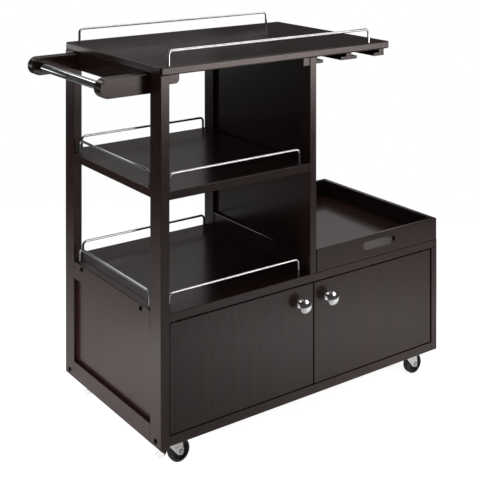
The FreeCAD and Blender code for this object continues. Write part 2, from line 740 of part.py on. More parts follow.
def caster_fork(x, y, braked):
    """Pressed fork: two side plates, the bridge and the race that turns under the top plate."""
    side = Part.Face(fork_outline())
    near = side.copy()
    near.translate(Vector(x, y - FORK_OUT, 0))
    far = side.copy()
    far.translate(Vector(x, y + FORK_GAP / 2, 0))
    plate = Vector(0, FORK_PLATE, 0)
    half = FORK_BRIDGE_LENGTH / 2
    z = (FORK_BRIDGE_HEIGHT - FORK_PLATE, FORK_BRIDGE_HEIGHT)
    bridge = box((x - half, x + half), (y - FORK_OUT, y + FORK_OUT), z)
    race_high = BOTTOM_LOW - PLATE_THICKNESS - RACE_AIR
    race = rod(RACE_RADIUS, Vector(x, y, FORK_BRIDGE_HEIGHT), Vector(x, y, race_high))
    fork = near.extrude(plate).fuse([far.extrude(plate), bridge, race]).removeSplitter()
    fork = fork.cut(rod(KINGPIN_RADIUS + RUNNING_CLEARANCE, Vector(x, y, z[0]), Vector(x, y, race_high)))
    holes = [(TRAIL, WHEEL_RADIUS, AXLE_RADIUS + FIT)]
    if braked:
        holes.append((-PEDAL_BACK, PEDAL_HEIGHT, PEDAL_PIN_RADIUS + RUNNING_CLEARANCE))
    for ahead, level, radius in holes:
        start = Vector(x + ahead, y - FORK_OUT, level)
        fork = fork.cut(rod(radius, start, start + Vector(0, 2 * FORK_OUT, 0)))
    return fork


def caster_wheel(x, y):
    """Wheel with a rounded tread, a thin web and a hub that runs on the axle."""
    bore = AXLE_RADIUS + RUNNING_CLEARANCE
    hub, web, tread = FORK_GAP / 2 - HUB_SIDE_AIR, WEB_WIDTH / 2, WHEEL_WIDTH / 2
    shoulder = tread - TREAD_ROUND
    swell = TREAD_ROUND * (1 - math.sqrt(0.5))
    profile = []
    for side in (-1, 1):
        half = [
            ((bore, side * hub), (HUB_RADIUS, side * hub)),
            ((HUB_RADIUS, side * hub), (HUB_RADIUS, side * web)),
            ((HUB_RADIUS, side * web), (RIM_RADIUS, side * web)),
            ((RIM_RADIUS, side * web), (RIM_RADIUS, side * tread)),
            ((RIM_RADIUS, side * tread), (WHEEL_RADIUS - TREAD_ROUND, side * tread)),
            (
                (WHEEL_RADIUS - TREAD_ROUND, side * tread),
                (WHEEL_RADIUS - swell, side * (tread - swell)),
                (WHEEL_RADIUS, side * shoulder),
            ),
        ]
        profile += half if side < 0 else [piece[::-1] for piece in half[::-1]]
        if side < 0:
            profile.append(((WHEEL_RADIUS, -shoulder), (WHEEL_RADIUS, shoulder)))
    profile.append(((bore, hub), (bore, -hub)))
    return turned(profile, Vector(x + TRAIL, y, WHEEL_RADIUS), Vector(0, 1, 0))


def caster_axle(x, y):
    """Riveted axle with a domed head outside each fork plate."""
    r, head, end = AXLE_RADIUS, AXLE_HEAD_RADIUS, FORK_OUT + AXLE_HEAD_HEIGHT
    profile = [
        dome(head, -FORK_OUT, -end)[::-1],
        ((head, -FORK_OUT), (r, -FORK_OUT)),
        ((r, -FORK_OUT), (r, FORK_OUT)),
        ((r, FORK_OUT), (head, FORK_OUT)),
        dome(head, FORK_OUT, end),
        ((0, end), (0, -end)),
    ]
    return turned(profile, Vector(x + TRAIL, y, WHEEL_RADIUS), Vector(0, 1, 0))


def pedal_link(start, end, thickness, y):
    """Flat link of a pedal between two points of its rocking plane, y wide."""
    way = (end - start).normalize()
    side = Vector(-way.z, 0, way.x) * (thickness / 2)
    corners = [(p.x, p.z) for p in (start + side, end + side, end - side, start - side)]
    return prism(corners, y[0], y[1] - y[0])


def brake_pedal(x, y):
    """Pedal that rocks on two trunnions: a foot tab ahead and a shoe that nears the tread."""
    pivot = Vector(x - PEDAL_BACK, y, PEDAL_HEIGHT)
    half = FORK_GAP / 2 - PEDAL_SIDE_AIR
    inside = (y - half, y + half)
    tab_width = (y - PEDAL_TAB_WIDTH / 2, y + PEDAL_TAB_WIDTH / 2)
    across = Vector(0, 1, 0)
    barrel = rod(PEDAL_BARREL, pivot - across * half, pivot + across * half)
    trunnions = rod(PEDAL_PIN_RADIUS, pivot - across * FORK_OUT, pivot + across * FORK_OUT)
    turn = math.atan2(WHEEL_RADIUS - PEDAL_HEIGHT, TRAIL + PEDAL_BACK) - math.radians(SHOE_TURN)
    tip = pivot + Vector(math.cos(turn), 0, math.sin(turn)) * SHOE_REACH
    shoe = rod(SHOE_RADIUS, tip - across * half, tip + across * half)
    toe = pivot + Vector(-PEDAL_TAB_REACH, 0, -PEDAL_TAB_DROP)
    heel = toe + Vector(PEDAL_TAB_LENGTH, 0, PEDAL_TAB_RISE)
    tab = pedal_link(toe, heel, PEDAL_TAB_THICKNESS, tab_width)
    tab = tab.makeFillet(0.45 * PEDAL_TAB_THICKNESS, edges_along(tab, across))
    arm = pedal_link(pivot, heel, PEDAL_ARM, inside)
    neck = pedal_link(pivot, tip, 2 * SHOE_RADIUS, inside)
    return barrel.fuse([trunnions, shoe, arm, neck, tab]).removeSplitter()


def fixed_nodes():
    """Pieces of the cart that are fixed together."""
    wall, middle, far = rack_stations()
    rail_low = (CABINET_HEIGHT, CABINET_HEIGHT + FRAME_WIDTH)
    rail_high = (TOP_LOW - FRAME_WIDTH, TOP_LOW)
    nodes = {
        "top_panel": top_panel(),
        "top_cleats": top_cleats(),
        "front_left_post": left_post((0, POST_WIDTH), "front_post"),
        "back_left_post": left_post((BACK_POST, DEPTH), "back_post"),
        "left_end_top_rail": left_end_top_rail(),
        "left_end_middle_rail": left_end_middle_rail(),
        "left_end_bottom_rail": left_end_bottom_rail(),
        "left_end_panel": left_panel_room(),
        "divider_front_stile": divider_stile((CARCASS_SETBACK, DIVIDER_FRONT)),
        "divider_back_stile": divider_stile((DIVIDER_BACK, DEPTH)),
        "divider_top_rail": divider_rail(rail_high),
        "divider_bottom_rail": divider_rail(rail_low),
        "divider_panel": divider_panel_room(),
        "middle_shelf": middle_shelf(),
        "cabinet_top": cabinet_top(),
        "cabinet_bottom": cabinet_bottom(),
        "right_end_panel": right_end_panel(),
        "cabinet_back_panel": back_panel_room(),
        "magnetic_catch": magnetic_catch(),
        "handle_front_arm": handle_arm((POST_WIDTH, ARM_FRONT), (ARM_FRONT - BAR_SOCKET, ARM_FRONT)),
        "handle_back_arm": handle_arm((ARM_BACK, BACK_POST), (ARM_BACK, ARM_BACK + BAR_SOCKET)),
        "handle_bar": handle_bar(),
        "stem_rack_left_rail": rack_rail(wall, 0, RACK_LIP),
        "stem_rack_middle_rail": rack_rail(middle, RACK_LIP, RACK_LIP),
        "stem_rack_right_rail": rack_rail(far, RACK_LIP, 0),
        "frame_bolts": [frame_bolt(spot) for place in BOLTS.values() for spot in place],
        "caster_plates": [caster_plate(x, y) for x, y in SWIVELS.values()],
    }
    for name in RAIL_ENDS:
        nodes[name] = guard_rail(name)
    return nodes


def moving_nodes():
    """Doors, tray and caster pieces."""
    nodes = {
        "left_door": door(LEFT_DOOR, LEFT_PIVOT, LEFT_KNOB),
        "left_door_knob": knob(LEFT_KNOB),
        "left_door_fittings": pivot_pins(LEFT_PIVOT) + [striker(LEFT_DOOR[1], -1)],
        "right_door": door(RIGHT_DOOR, RIGHT_PIVOT, RIGHT_KNOB),
        "right_door_knob": knob(RIGHT_KNOB),
        "right_door_fittings": pivot_pins(RIGHT_PIVOT) + [striker(RIGHT_DOOR[0], 1)],
        "tray_floor": tray_floor_room(),
        "tray_front_wall": tray_long_wall(TRAY_DEPTH[0]),
        "tray_back_wall": tray_long_wall(TRAY_DEPTH[1] - TRAY_WALL),
        "tray_left_wall": tray_side_wall(TRAY_SPAN[0]),
        "tray_right_wall": tray_side_wall(TRAY_SPAN[1] - TRAY_WALL),
    }
    for corner, (x, y) in SWIVELS.items():
        braked = corner.endswith("left")
        nodes[corner + "_caster_fork"] = caster_fork(x, y, braked)
        nodes[corner + "_caster_wheel"] = caster_wheel(x, y)
        nodes[corner + "_caster_axle"] = caster_axle(x, y)
        if braked:
            nodes[corner + "_brake_pedal"] = brake_pedal(x, y)
    return nodes


def write(nodes):
    """Move every piece into the shared frame and save it under its name."""
    os.makedirs("parts", exist_ok=True)
    for name, shape in nodes.items():
        if isinstance(shape, list):
            shape = Part.makeCompound(shape)
        shape.translate(ORIGIN * -1)
        shape.exportStep(os.path.join("parts", name + ".step"))


write({**fixed_nodes(), **moving_nodes()})
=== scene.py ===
"""Dressed visual model of the wheeled kitchen cart.

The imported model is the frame. Its boards, rods and knobs stay and get their finishes here. The casters,
the catch and the screws are modelled again with the detail that shows close up. Everything is in metres
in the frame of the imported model: x runs right, y runs back, and z runs up from the floor. Sizes in the
classes are in millimetres, as on a drawing.
"""
import json
import logging
import math
from contextlib import contextmanager
from dataclasses import dataclass, field
from enum import Enum
from typing import Any, Callable, Iterator, Optional, Sequence

import bmesh
import bpy
from mathutils import Matrix, Vector

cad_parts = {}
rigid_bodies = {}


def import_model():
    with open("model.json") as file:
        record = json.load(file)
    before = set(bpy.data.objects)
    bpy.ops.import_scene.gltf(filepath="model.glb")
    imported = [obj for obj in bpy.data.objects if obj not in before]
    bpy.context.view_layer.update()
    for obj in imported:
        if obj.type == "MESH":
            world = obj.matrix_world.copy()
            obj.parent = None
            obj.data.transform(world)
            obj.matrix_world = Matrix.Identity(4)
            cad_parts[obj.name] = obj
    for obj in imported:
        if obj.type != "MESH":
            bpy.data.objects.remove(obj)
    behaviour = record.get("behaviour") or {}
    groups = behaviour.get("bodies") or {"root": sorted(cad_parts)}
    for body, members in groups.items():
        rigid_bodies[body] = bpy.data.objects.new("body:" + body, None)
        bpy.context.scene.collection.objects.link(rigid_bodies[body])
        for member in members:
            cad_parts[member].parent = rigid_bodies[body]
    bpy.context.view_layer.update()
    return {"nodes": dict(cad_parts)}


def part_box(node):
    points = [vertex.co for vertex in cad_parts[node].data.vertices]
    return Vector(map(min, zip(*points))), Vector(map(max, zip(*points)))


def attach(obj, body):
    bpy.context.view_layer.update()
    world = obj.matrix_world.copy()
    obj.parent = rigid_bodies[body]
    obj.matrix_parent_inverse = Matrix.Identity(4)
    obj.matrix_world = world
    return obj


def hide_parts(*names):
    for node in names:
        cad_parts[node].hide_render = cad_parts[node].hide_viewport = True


for leftover in list(bpy.data.objects):
    bpy.data.objects.remove(leftover)
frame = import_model()

MM = 0.001
# Least cosine at which a face looks, or an edge runs, along a direction
ALONG = 0.9
# How close counts as at a level, in millimetres
NEAR = 0.2
# Part of a noise's range, from dark to light, that carries its marks
MARKS = (0.3, 0.7)
# Places of a dark and a light tone on a noise
TONES = (0.35, 0.65)
Ring = tuple[float, float]
Point = tuple[float, float, float]
Piece = bpy.types.Object
Tree, Node, Socket = bpy.types.NodeTree, bpy.types.Node, bpy.types.NodeSocket
log = logging.getLogger("kitchen_cart")


# Bench tools: the few edits that every piece is made with


class Element(Enum):
    """Kind of mesh element that an edit works on."""

    VERT = "VERT"
    EDGE = "EDGE"
    FACE = "FACE"


class Axis(Enum):
    """Direction that a turned piece is drawn out along."""

    BACK = Vector((0, 1, 0))
    UP = Vector((0, 0, 1))


def select_only(*pieces: Piece) -> None:
    """Selects these pieces alone and makes the first of them active.

    Args:
        pieces: the pieces to select; none clears the selection.
    """
    for other in bpy.context.view_layer.objects:
        other.select_set(False)
    for piece in pieces:
        piece.select_set(True)
    bpy.context.view_layer.objects.active = pieces[0] if pieces else None


@contextmanager
def editing(piece: Piece) -> Iterator[None]:
    """Opens a piece in edit mode and closes it again.

    Args:
        piece: the piece to edit.

    Returns:
        The block during which the piece is open.
    """
    select_only(piece)
    bpy.ops.object.mode_set(mode="EDIT")
    yield
    bpy.ops.object.mode_set(mode="OBJECT")


def pick(kind: Element, test: Callable[[Vector, Vector], bool]) -> None:
    """Selects the elements of the mesh in edit mode that pass a test, and no others.

    Args:
        kind: whether vertices, edges or faces are picked.
        test: tells from an element's middle and its normal, or an edge's run, whether it is picked.
    """
    bpy.ops.mesh.select_mode(type=kind.value)
    bpy.ops.mesh.select_all(action="DESELECT")
    data = bpy.context.edit_object.data
    mesh = bmesh.from_edit_mesh(data)
    for item in {Element.VERT: mesh.verts, Element.EDGE: mesh.edges, Element.FACE: mesh.faces}[kind]:
        if kind is Element.VERT:
            spot, way = item.co, item.normal
        elif kind is Element.EDGE:
            start, end = (vert.co for vert in item.verts)
            spot, way = (start + end) / 2, (end - start).normalized()
        else:
            spot, way = item.calc_center_median(), item.normal
        if test(spot, way):
            item.select_set(True)
    mesh.select_flush_mode()
    bmesh.update_edit_mesh(data)


def draw_out(way: Vector) -> None:
    """Extrudes what is selected by a move in metres."""
    bpy.ops.mesh.extrude_region_move(TRANSFORM_OT_translate={"value": way})


def close_up() -> None:
    """Turns all faces of the mesh in edit mode outwards."""
    bpy.ops.mesh.select_all(action="SELECT")
    bpy.ops.mesh.normals_make_consistent(inside=False)


def started(name: str) -> Piece:
    """Names the primitive that was just added and puts its place and turn into its mesh.

    Args:
        name: the name of the piece.

    Returns:
        The piece, at the origin and unturned.
    """
    piece = bpy.context.object
    piece.name = piece.data.name = name
    bpy.ops.object.transform_apply(location=True, rotation=True, scale=True)
    return piece


def block(name: str, low: Vector, high: Vector) -> Piece:
    """Starts a piece as a block between two corners.

    Args:
        name: the name of the piece.
        low: its lowest corner.
        high: its highest corner.

    Returns:
        The block, ready to be shaped.
    """
    select_only()
    bpy.ops.mesh.primitive_cube_add(size=1, location=(low + high) / 2)
    bpy.context.object.scale = high - low
    return started(name)


def turned(name: str, foot: Vector, axis: Axis, rings: Sequence[Ring], sides: int = 48) -> Piece:
    """Turns a piece as on a lathe: a disc is drawn out along an axis and resized from ring to ring.

    Args:
        name: the name of the piece.
        foot: the point of the axis that heights count from.
        axis: the direction of the heights.
        rings: radius and height of each ring in millimetres, from one flat end to the other.
        sides: the number of facets round the axis.

    Returns:
        The closed, turned piece.
    """
    way = axis.value
    select_only()
    bpy.ops.mesh.primitive_circle_add(
        vertices=sides,
        radius=rings[0][0] * MM,
        fill_type="NGON",
        location=foot + way * rings[0][1] * MM,
        rotation=way.to_track_quat("Z", "Y").to_euler(),
    )
    piece = started(name)
    with editing(piece):
        bpy.ops.mesh.select_mode(type="FACE")
        bpy.ops.mesh.select_all(action="SELECT")
        for (old, low), (new, high) in zip(rings, rings[1:]):
            draw_out(way * (high - low) * MM)
            bpy.ops.transform.resize(value=(new / old,) * 3, center_override=foot + way * high * MM)
        close_up()
    return piece


def shape_with(piece: Piece, kind: str, **settings: Any) -> None:
    """Adds a modifier to a piece and applies it.

    Args:
        piece: the piece to shape.
        kind: the kind of modifier.
        settings: its settings.
    """
    select_only(piece)
    tool = piece.modifiers.new(kind.lower(), kind)
    for key, value in settings.items():
        setattr(tool, key, value)
    bpy.ops.object.modifier_apply(modifier=tool.name)


def ease(piece: Piece, width: float, steps: int = 2, degrees: float = 40) -> None:
    """Rounds the sharp edges of a piece.

    Args:
        piece: the piece to ease.
        width: the width of the rounding in millimetres.
        steps: the facets across it.
        degrees: the angle from which an edge counts as sharp.
    """
    shape_with(piece, "BEVEL", width=width * MM, segments=steps, limit_method="ANGLE",
               angle_limit=math.radians(degrees), use_clamp_overlap=True)


def polish(piece: Piece, degrees: float = 35) -> None:
    """Shades a piece smooth except at edges sharper than an angle."""
    select_only(piece)
    bpy.ops.object.shade_smooth_by_angle(angle=math.radians(degrees))


def joined(name: str, pieces: Sequence[Piece]) -> Piece:
    """Joins pieces into one.

    Args:
        name: the name of the whole.
        pieces: its members, the first of which gives its finish.

    Returns:
        The joined piece.
    """
    select_only(*pieces)
    bpy.ops.object.join()
    whole = bpy.context.object
    whole.name = whole.data.name = name
    return whole


def copied(piece: Piece, name: str, place: Matrix) -> Piece:
    """Copies a piece with a mesh of its own.

    Args:
        piece: the piece that was modelled.
        name: the name of the copy.
        place: the move from the model to the copy, put into the copy's mesh.

    Returns:
        The copy.
    """
    twin = piece.copy()
    twin.data = piece.data.copy()
    twin.name = twin.data.name = name
    twin.data.transform(place)
    bpy.context.scene.collection.objects.link(twin)
    return twin


# Finishes


def linear(code: str) -> tuple[float, float, float, float]:
    """Turns an sRGB hex colour into a linear one.

    Args:
        code: six hex digits after a hash.

    Returns:
        Red, green, blue and a full alpha.
    """
    parts = [int(code[i:i + 2], 16) / 255 for i in (1, 3, 5)]
    red, green, blue = (p / 12.92 if p <= 0.04045 else ((p + 0.055) / 1.055) ** 2.4 for p in parts)
    return red, green, blue, 1.0


def add_node(
    tree: Tree,
    kind: str,
    inputs: Optional[dict[Any, Any]] = None,
    stops: Sequence[tuple[float, str]] = (),
    **settings: Any,
) -> Node:
    """Adds a node with its settings and links.

    Args:
        tree: the tree to add it to.
        kind: the node's type.
        inputs: what each socket gets: a value, or the output that it is linked to.
        stops: places and hex colours of a colour ramp.
        settings: other settings of the node.

    Returns:
        The node.
    """
    node = tree.nodes.new(kind)
    for key, value in settings.items():
        setattr(node, key, value)
    for key, value in (inputs or {}).items():
        if isinstance(value, Socket):
            tree.links.new(value, node.inputs[key])
        else:
            node.inputs[key].default_value = value
    for spot, (place, code) in enumerate(stops):
        ramp = node.color_ramp.elements
        stop = ramp[spot] if spot < len(ramp) else ramp.new(place)
        stop.position, stop.color = place, linear(code)
    return node


class Finish:
    """Base of the finishes: makes its material once and hands it out."""

    title: str

    def paint(self, tree: Tree, shader: Node, place: Socket) -> None:
        """Wires the finish.

        Args:
            tree: the material's tree.
            shader: its surface shader.
            place: the object coordinates in metres.
        """
        raise NotImplementedError

    def wire_gloss(
        self,
        tree: Tree,
        shader: Node,
        marks: Socket,
        gloss: tuple[float, float],
        grit: Socket,
        relief: tuple[float, float],
    ) -> None:
        """Wires what all finishes of the cart share: gloss that follows marks, and the relief of a grit.

        Args:
            tree: the material's tree.
            shader: its surface shader.
            marks: the noise that the gloss follows.
            gloss: roughness in the dark and in the light marks.
            grit: the noise that stands out.
            relief: how strong the grit stands out, and its height in millimetres.
        """
        haze = add_node(tree, "ShaderNodeMapRange", {
            "Value": marks, "From Min": MARKS[0], "From Max": MARKS[1],
            "To Min": gloss[0], "To Max": gloss[1],
        })
        tree.links.new(haze.outputs["Result"], shader.inputs["Roughness"])
        bump = add_node(tree, "ShaderNodeBump", {
            "Height": grit, "Strength": relief[0], "Distance": relief[1] * MM,
        })
        tree.links.new(bump.outputs["Normal"], shader.inputs["Normal"])

    def material(self) -> bpy.types.Material:
        """Gives the material, made on the first call.

        Returns:
            The material of this finish.
        """
        made = bpy.data.materials.get(self.title)
        if made is None:
            made = bpy.data.materials.new(self.title)
            made.use_nodes = True
            tree = made.node_tree
            tree.nodes.clear()
            shader = add_node(tree, "ShaderNodeBsdfPrincipled")
            add_node(tree, "ShaderNodeOutputMaterial", {"Surface": shader.outputs["BSDF"]})
            self.paint(tree, shader, add_node(tree, "ShaderNodeTexCoord").outputs["Object"])
        return made

    def coat(self, piece: Piece) -> None:
        """Puts the finish on every material slot of a piece.

        Args:
            piece: the piece to finish.
        """
        if not piece.data.materials:
            piece.data.materials.append(self.material())
        for spot in piece.material_slots:
            spot.material = self.material()


class Grain(Enum):
    """Way that a board's grain runs, as the turn that lays it along x."""

    LENGTH = (0.0, 0.0, 0.0)
    DEPTH = (0.0, 0.0, -math.pi / 2)
    UPRIGHT = (0.0, math.pi / 2, 0.0)


@dataclass(frozen=True)
class EspressoWood(Finish):
    """Rubberwood and veneered board, spray-stained espresso and lacquered to a satin gloss.

    The stain hides most of the figure, so the eye gets near-black brown with faint, darker growth streaks
    and a sheen that carries most of the light. Pores break the sheen up along the grain.
    """

    grain: Grain
    plank: int
    streak_length: float = 340.0
    streak_width: float = 11.0
    pore_length: float = 42.0
    # Real pores are 0.1 to 0.3 mm wide, too fine to show here, so they are drawn coarser
    pore_width: float = 1.9
    waviness: float = 0.35
    stain: tuple[tuple[float, str], ...] = ((0.30, "#281817"), (0.52, "#2d1b1a"), (0.72, "#331f1e"))
    pore_shade: tuple[tuple[float, str], ...] = ((0.32, "#cfcaca"), (0.55, "#ffffff"))
    sheen: tuple[float, float] = (0.25, 0.20)
    relief: tuple[float, float] = (0.03, 0.3)
    ior: float = 1.5
    # How far each plank is cut from the last, in metres, and which way
    plank_step: float = 1.37
    plank_way: Point = (1.0, 0.7, 0.3)

    @property
    def title(self) -> str:
        """Name of the material of this plank."""
        return f"espresso_rubberwood_{self.grain.name.lower()}_{self.plank}"

    def paint(self, tree: Tree, shader: Node, place: Socket) -> None:
        """Wires the streaks of the stain, the pores and the lacquer.

        Args:
            tree: the material's tree.
            shader: its surface shader.
            place: the object coordinates in metres.
        """
        shift = [self.plank * self.plank_step * part for part in self.plank_way]
        laid = add_node(tree, "ShaderNodeMapping", {
            "Vector": place, "Rotation": self.grain.value, "Location": shift,
        }).outputs["Vector"]
        noises = []
        for length, width, detail in (
            (self.streak_length, self.streak_width, 3.0),
            (self.pore_length, self.pore_width, 2.0),
        ):
            stretch = add_node(tree, "ShaderNodeMapping", {
                "Vector": laid, "Scale": (1 / (length * MM), 1 / (width * MM), 1 / (width * MM)),
            })
            noises.append(add_node(tree, "ShaderNodeTexNoise", {
                "Vector": stretch.outputs["Vector"], "Scale": 1.0, "Detail": detail,
                "Distortion": self.waviness,
            }).outputs["Fac"])
        streaks, pores = noises
        stain = add_node(tree, "ShaderNodeValToRGB", {"Fac": streaks}, self.stain)
        shade = add_node(tree, "ShaderNodeValToRGB", {"Fac": pores}, self.pore_shade)
        colour = add_node(tree, "ShaderNodeMix", {
            "Factor": 1.0, "A": stain.outputs["Color"], "B": shade.outputs["Color"],
        }, data_type="RGBA", blend_type="MULTIPLY")
        tree.links.new(colour.outputs["Result"], shader.inputs["Base Color"])
        self.wire_gloss(tree, shader, pores, self.sheen, pores, self.relief)
        shader.inputs["IOR"].default_value = self.ior


@dataclass(frozen=True)
class Plating(Finish):
    """Plated or blackened metal: a clear mirror or a bright mill surface with faint clouding.

    Buffing leaves soft clouds that change the gloss more than the colour.
    """

    title: str
    dark: str
    light: str
    cloud: float
    gloss: tuple[float, float]
    grit: float
    relief: tuple[float, float]
    # Less than one where a milky passivation lies on the metal
    metal: float = 1.0

    def paint(self, tree: Tree, shader: Node, place: Socket) -> None:
        """Wires the clouds of the plating.

        Args:
            tree: the material's tree.
            shader: its surface shader.
            place: the object coordinates in metres.
        """
        clouds, grit = (
            add_node(tree, "ShaderNodeTexNoise", {
                "Vector": place, "Scale": 1 / (size * MM), "Detail": detail,
            }).outputs["Fac"]
            for size, detail in ((self.cloud, 3.0), (self.grit, 2.0))
        )
        stops = tuple(zip(TONES, (self.dark, self.light)))
        tone = add_node(tree, "ShaderNodeValToRGB", {"Fac": clouds}, stops)
        tree.links.new(tone.outputs["Color"], shader.inputs["Base Color"])
        self.wire_gloss(tree, shader, clouds, self.gloss, grit, self.relief)
        shader.inputs["Metallic"].default_value = self.metal


@dataclass(frozen=True)
class Moulding(Finish):
    """Injection-moulded plastic or rubber: an even colour with cloudy flow marks and a spark-eroded grain.

    The grain of the mould scatters the light, so highlights are broad and soft.
    """

    title: str
    dark: str
    light: str
    gloss: tuple[float, float]
    ior: float
    flow: float = 9.0
    # The eroded grain is about 0.1 mm and is drawn coarser so that it shows
    grit: float = 0.7
    relief: tuple[float, float] = (0.25, 0.1)
    # How far light travels inside, in millimetres, its share and tint, and the strength of a painted glow
    # that brightens the plastic as if more light fell on it
    bleed: float = 0.0
    bleed_share: float = 0.3
    bleed_tint: Point = (1.0, 0.95, 0.9)
    glow: float = 0.0

    def paint(self, tree: Tree, shader: Node, place: Socket) -> None:
        """Wires the flow marks and the grain of the mould.

        Args:
            tree: the material's tree.
            shader: its surface shader.
            place: the object coordinates in metres.
        """
        flow, grit = (
            add_node(tree, "ShaderNodeTexNoise", {
                "Vector": place, "Scale": 1 / (size * MM), "Detail": detail, "Distortion": swirl,
            }).outputs["Fac"]
            for size, detail, swirl in ((self.flow, 2.0, 0.6), (self.grit, 1.0, 0.0))
        )
        stops = tuple(zip(TONES, (self.dark, self.light)))
        tone = add_node(tree, "ShaderNodeValToRGB", {"Fac": flow}, stops)
        tree.links.new(tone.outputs["Color"], shader.inputs["Base Color"])
        self.wire_gloss(tree, shader, grit, self.gloss, grit, self.relief)
        shader.inputs["IOR"].default_value = self.ior
        if self.bleed:
            shader.inputs["Subsurface Weight"].default_value = self.bleed_share
            shader.inputs["Subsurface Radius"].default_value = self.bleed_tint
            shader.inputs["Subsurface Scale"].default_value = self.bleed * MM
        # Painted glow: the plastic emits its own colour, standing in for light that doesn't reach it
        if self.glow:
            tree.links.new(tone.outputs["Color"], shader.inputs["Emission Color"])
            shader.inputs["Emission Strength"].default_value = self.glow


# Mirror chrome over polished steel: crisp white and black bands with a trace of buffing haze
CHROME = Plating(
    "polished_chrome", "#d3d5d8", "#e6e7e9",
    cloud=26.0, gloss=(0.035, 0.085), grit=1.6, relief=(0.015, 0.1),
)
# Chrome of the cast zinc alloy knobs, painted whiter than the rods' chrome so that their mirror images come
# out brighter, and without haze
KNOB_CHROME = Plating(
    "decorative_knob_chrome", "#efeeed", "#f8f7f6",
    cloud=26.0, gloss=(0.03, 0.06), grit=1.6, relief=(0.01, 0.1),
)
# Bright zinc over cold-rolled sheet: pale and neutral, with soft cloudy highlights
ZINC = Plating(
    "bright_zinc_plate", "#d4d2d1", "#ecebea",
    cloud=5.0, gloss=(0.26, 0.40), grit=0.9, relief=(0.10, 0.1), metal=0.35,
)
# Black oxide on steel: almost black with a dull oily gleam
BLACK_OXIDE = Plating(
    "black_oxide_steel", "#1c1c1e", "#303033",
    cloud=2.4, gloss=(0.24, 0.36), grit=0.6, relief=(0.10, 0.1),
)
# Thermoplastic rubber of the treads: dark grey and matt
TREAD_RUBBER = Moulding("grey_tread_rubber", "#20211f", "#2f302e", gloss=(0.52, 0.68), ior=1.52)
# Glass-filled nylon of the wheel cores: nearly black with a dry gloss
CORE_NYLON = Moulding("black_core_nylon", "#0e0e0e", "#191919", gloss=(0.36, 0.50), ior=1.53)
# Natural white nylon of the brake pedals: slightly warm white with a waxy gloss, and a painted glow that
# lights it where no lamp reaches it
PEDAL_NYLON = Moulding(
    "white_pedal_nylon", "#efeeea", "#f9f8f6",
    gloss=(0.30, 0.42), ior=1.53, bleed=1.5, glow=0.5,
)
# Brown ABS of the catch body: even brown with a fine mould grain
CATCH_ABS = Moulding("brown_catch_abs", "#33231b", "#432f25", gloss=(0.38, 0.52), ior=1.54)


# Sub-assemblies


# Nodes that the studio's flags and cards name as well
KNOBS = ("left_door_knob", "right_door_knob")


def settle(piece: Piece, body: str, stands_for: Optional[str] = None) -> None:
    """Puts a finished piece on its body and names what it stands for.

    Args:
        piece: the finished piece.
        body: the body that it rides on.
        stands_for: the node that it replaces, if it does.
    """
    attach(piece, body)
    if stands_for:
        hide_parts(stands_for)
    log.info("%s rides on %s", piece.name, body)


def finish_in_two(
    piece: Piece, first: Finish, second: Finish, takes_second: Callable[[Vector], bool]
) -> None:
    """Finishes a piece in two materials.

    Args:
        piece: the piece to finish.
        first: the finish of most faces.
        second: the finish of the others.
        takes_second: tells from a face's middle whether it gets the second finish.
    """
    for finish in (first, second):
        piece.data.materials.append(finish.material())
    for face in piece.data.polygons:
        face.material_index = int(takes_second(face.center))


def off_axis(middle: Vector, place: Vector) -> float:
    """Distance of a point from the axis that runs back through a middle, in millimetres."""
    return math.hypot(place.x - middle.x, place.z - middle.z) / MM


@dataclass
class WoodWork:
    """All boards of the cart, with the grain of each laid along it."""

    planks: int = 4
    lengthwise: tuple[str, ...] = (
        "top_panel", "middle_shelf", "cabinet_top", "cabinet_bottom", "handle_front_arm", "handle_back_arm",
        "tray_front_wall", "tray_back_wall", "tray_floor",
    )
    depthwise: tuple[str, ...] = (
        "left_end_top_rail", "left_end_middle_rail", "left_end_bottom_rail", "divider_top_rail",
        "divider_bottom_rail", "top_cleats", "tray_left_wall", "tray_right_wall", "stem_rack_left_rail",
        "stem_rack_middle_rail", "stem_rack_right_rail",
    )
    upright: tuple[str, ...] = (
        "front_left_post", "back_left_post", "left_end_panel", "divider_front_stile", "divider_back_stile",
        "divider_panel", "right_end_panel", "cabinet_back_panel", "left_door", "right_door",
    )

    def dress(self) -> None:
        """Finishes every board with the plank that it is cut from."""
        for grain, nodes in (
            (Grain.LENGTH, self.lengthwise), (Grain.DEPTH, self.depthwise), (Grain.UPRIGHT, self.upright),
        ):
            for count, node in enumerate(nodes):
                EspressoWood(grain, count % self.planks).coat(frame["nodes"][node])
                log.info("%s has its grain along the %s", node, grain.name.lower())


@dataclass
class MetalWork:
    """Rods, knobs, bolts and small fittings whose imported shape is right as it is."""

    chromed: tuple[str, ...] = (
        "top_front_rail", "top_back_rail", "shelf_front_rail", "shelf_back_rail", "shelf_left_rail",
        "cabinet_front_rail", "cabinet_back_rail", "cabinet_left_rail", "handle_bar",
    )
    bright: tuple[str, ...] = KNOBS
    zinced: tuple[str, ...] = ("caster_plates", "left_door_fittings", "right_door_fittings")
    blackened: tuple[str, ...] = ("frame_bolts",)

    def dress(self) -> None:
        """Finishes every metal node that stays."""
        for finish, nodes in (
            (CHROME, self.chromed), (KNOB_CHROME, self.bright), (ZINC, self.zinced),
            (BLACK_OXIDE, self.blackened),
        ):
            for node in nodes:
                finish.coat(frame["nodes"][node])
                log.info("%s is finished in %s", node, finish.title)


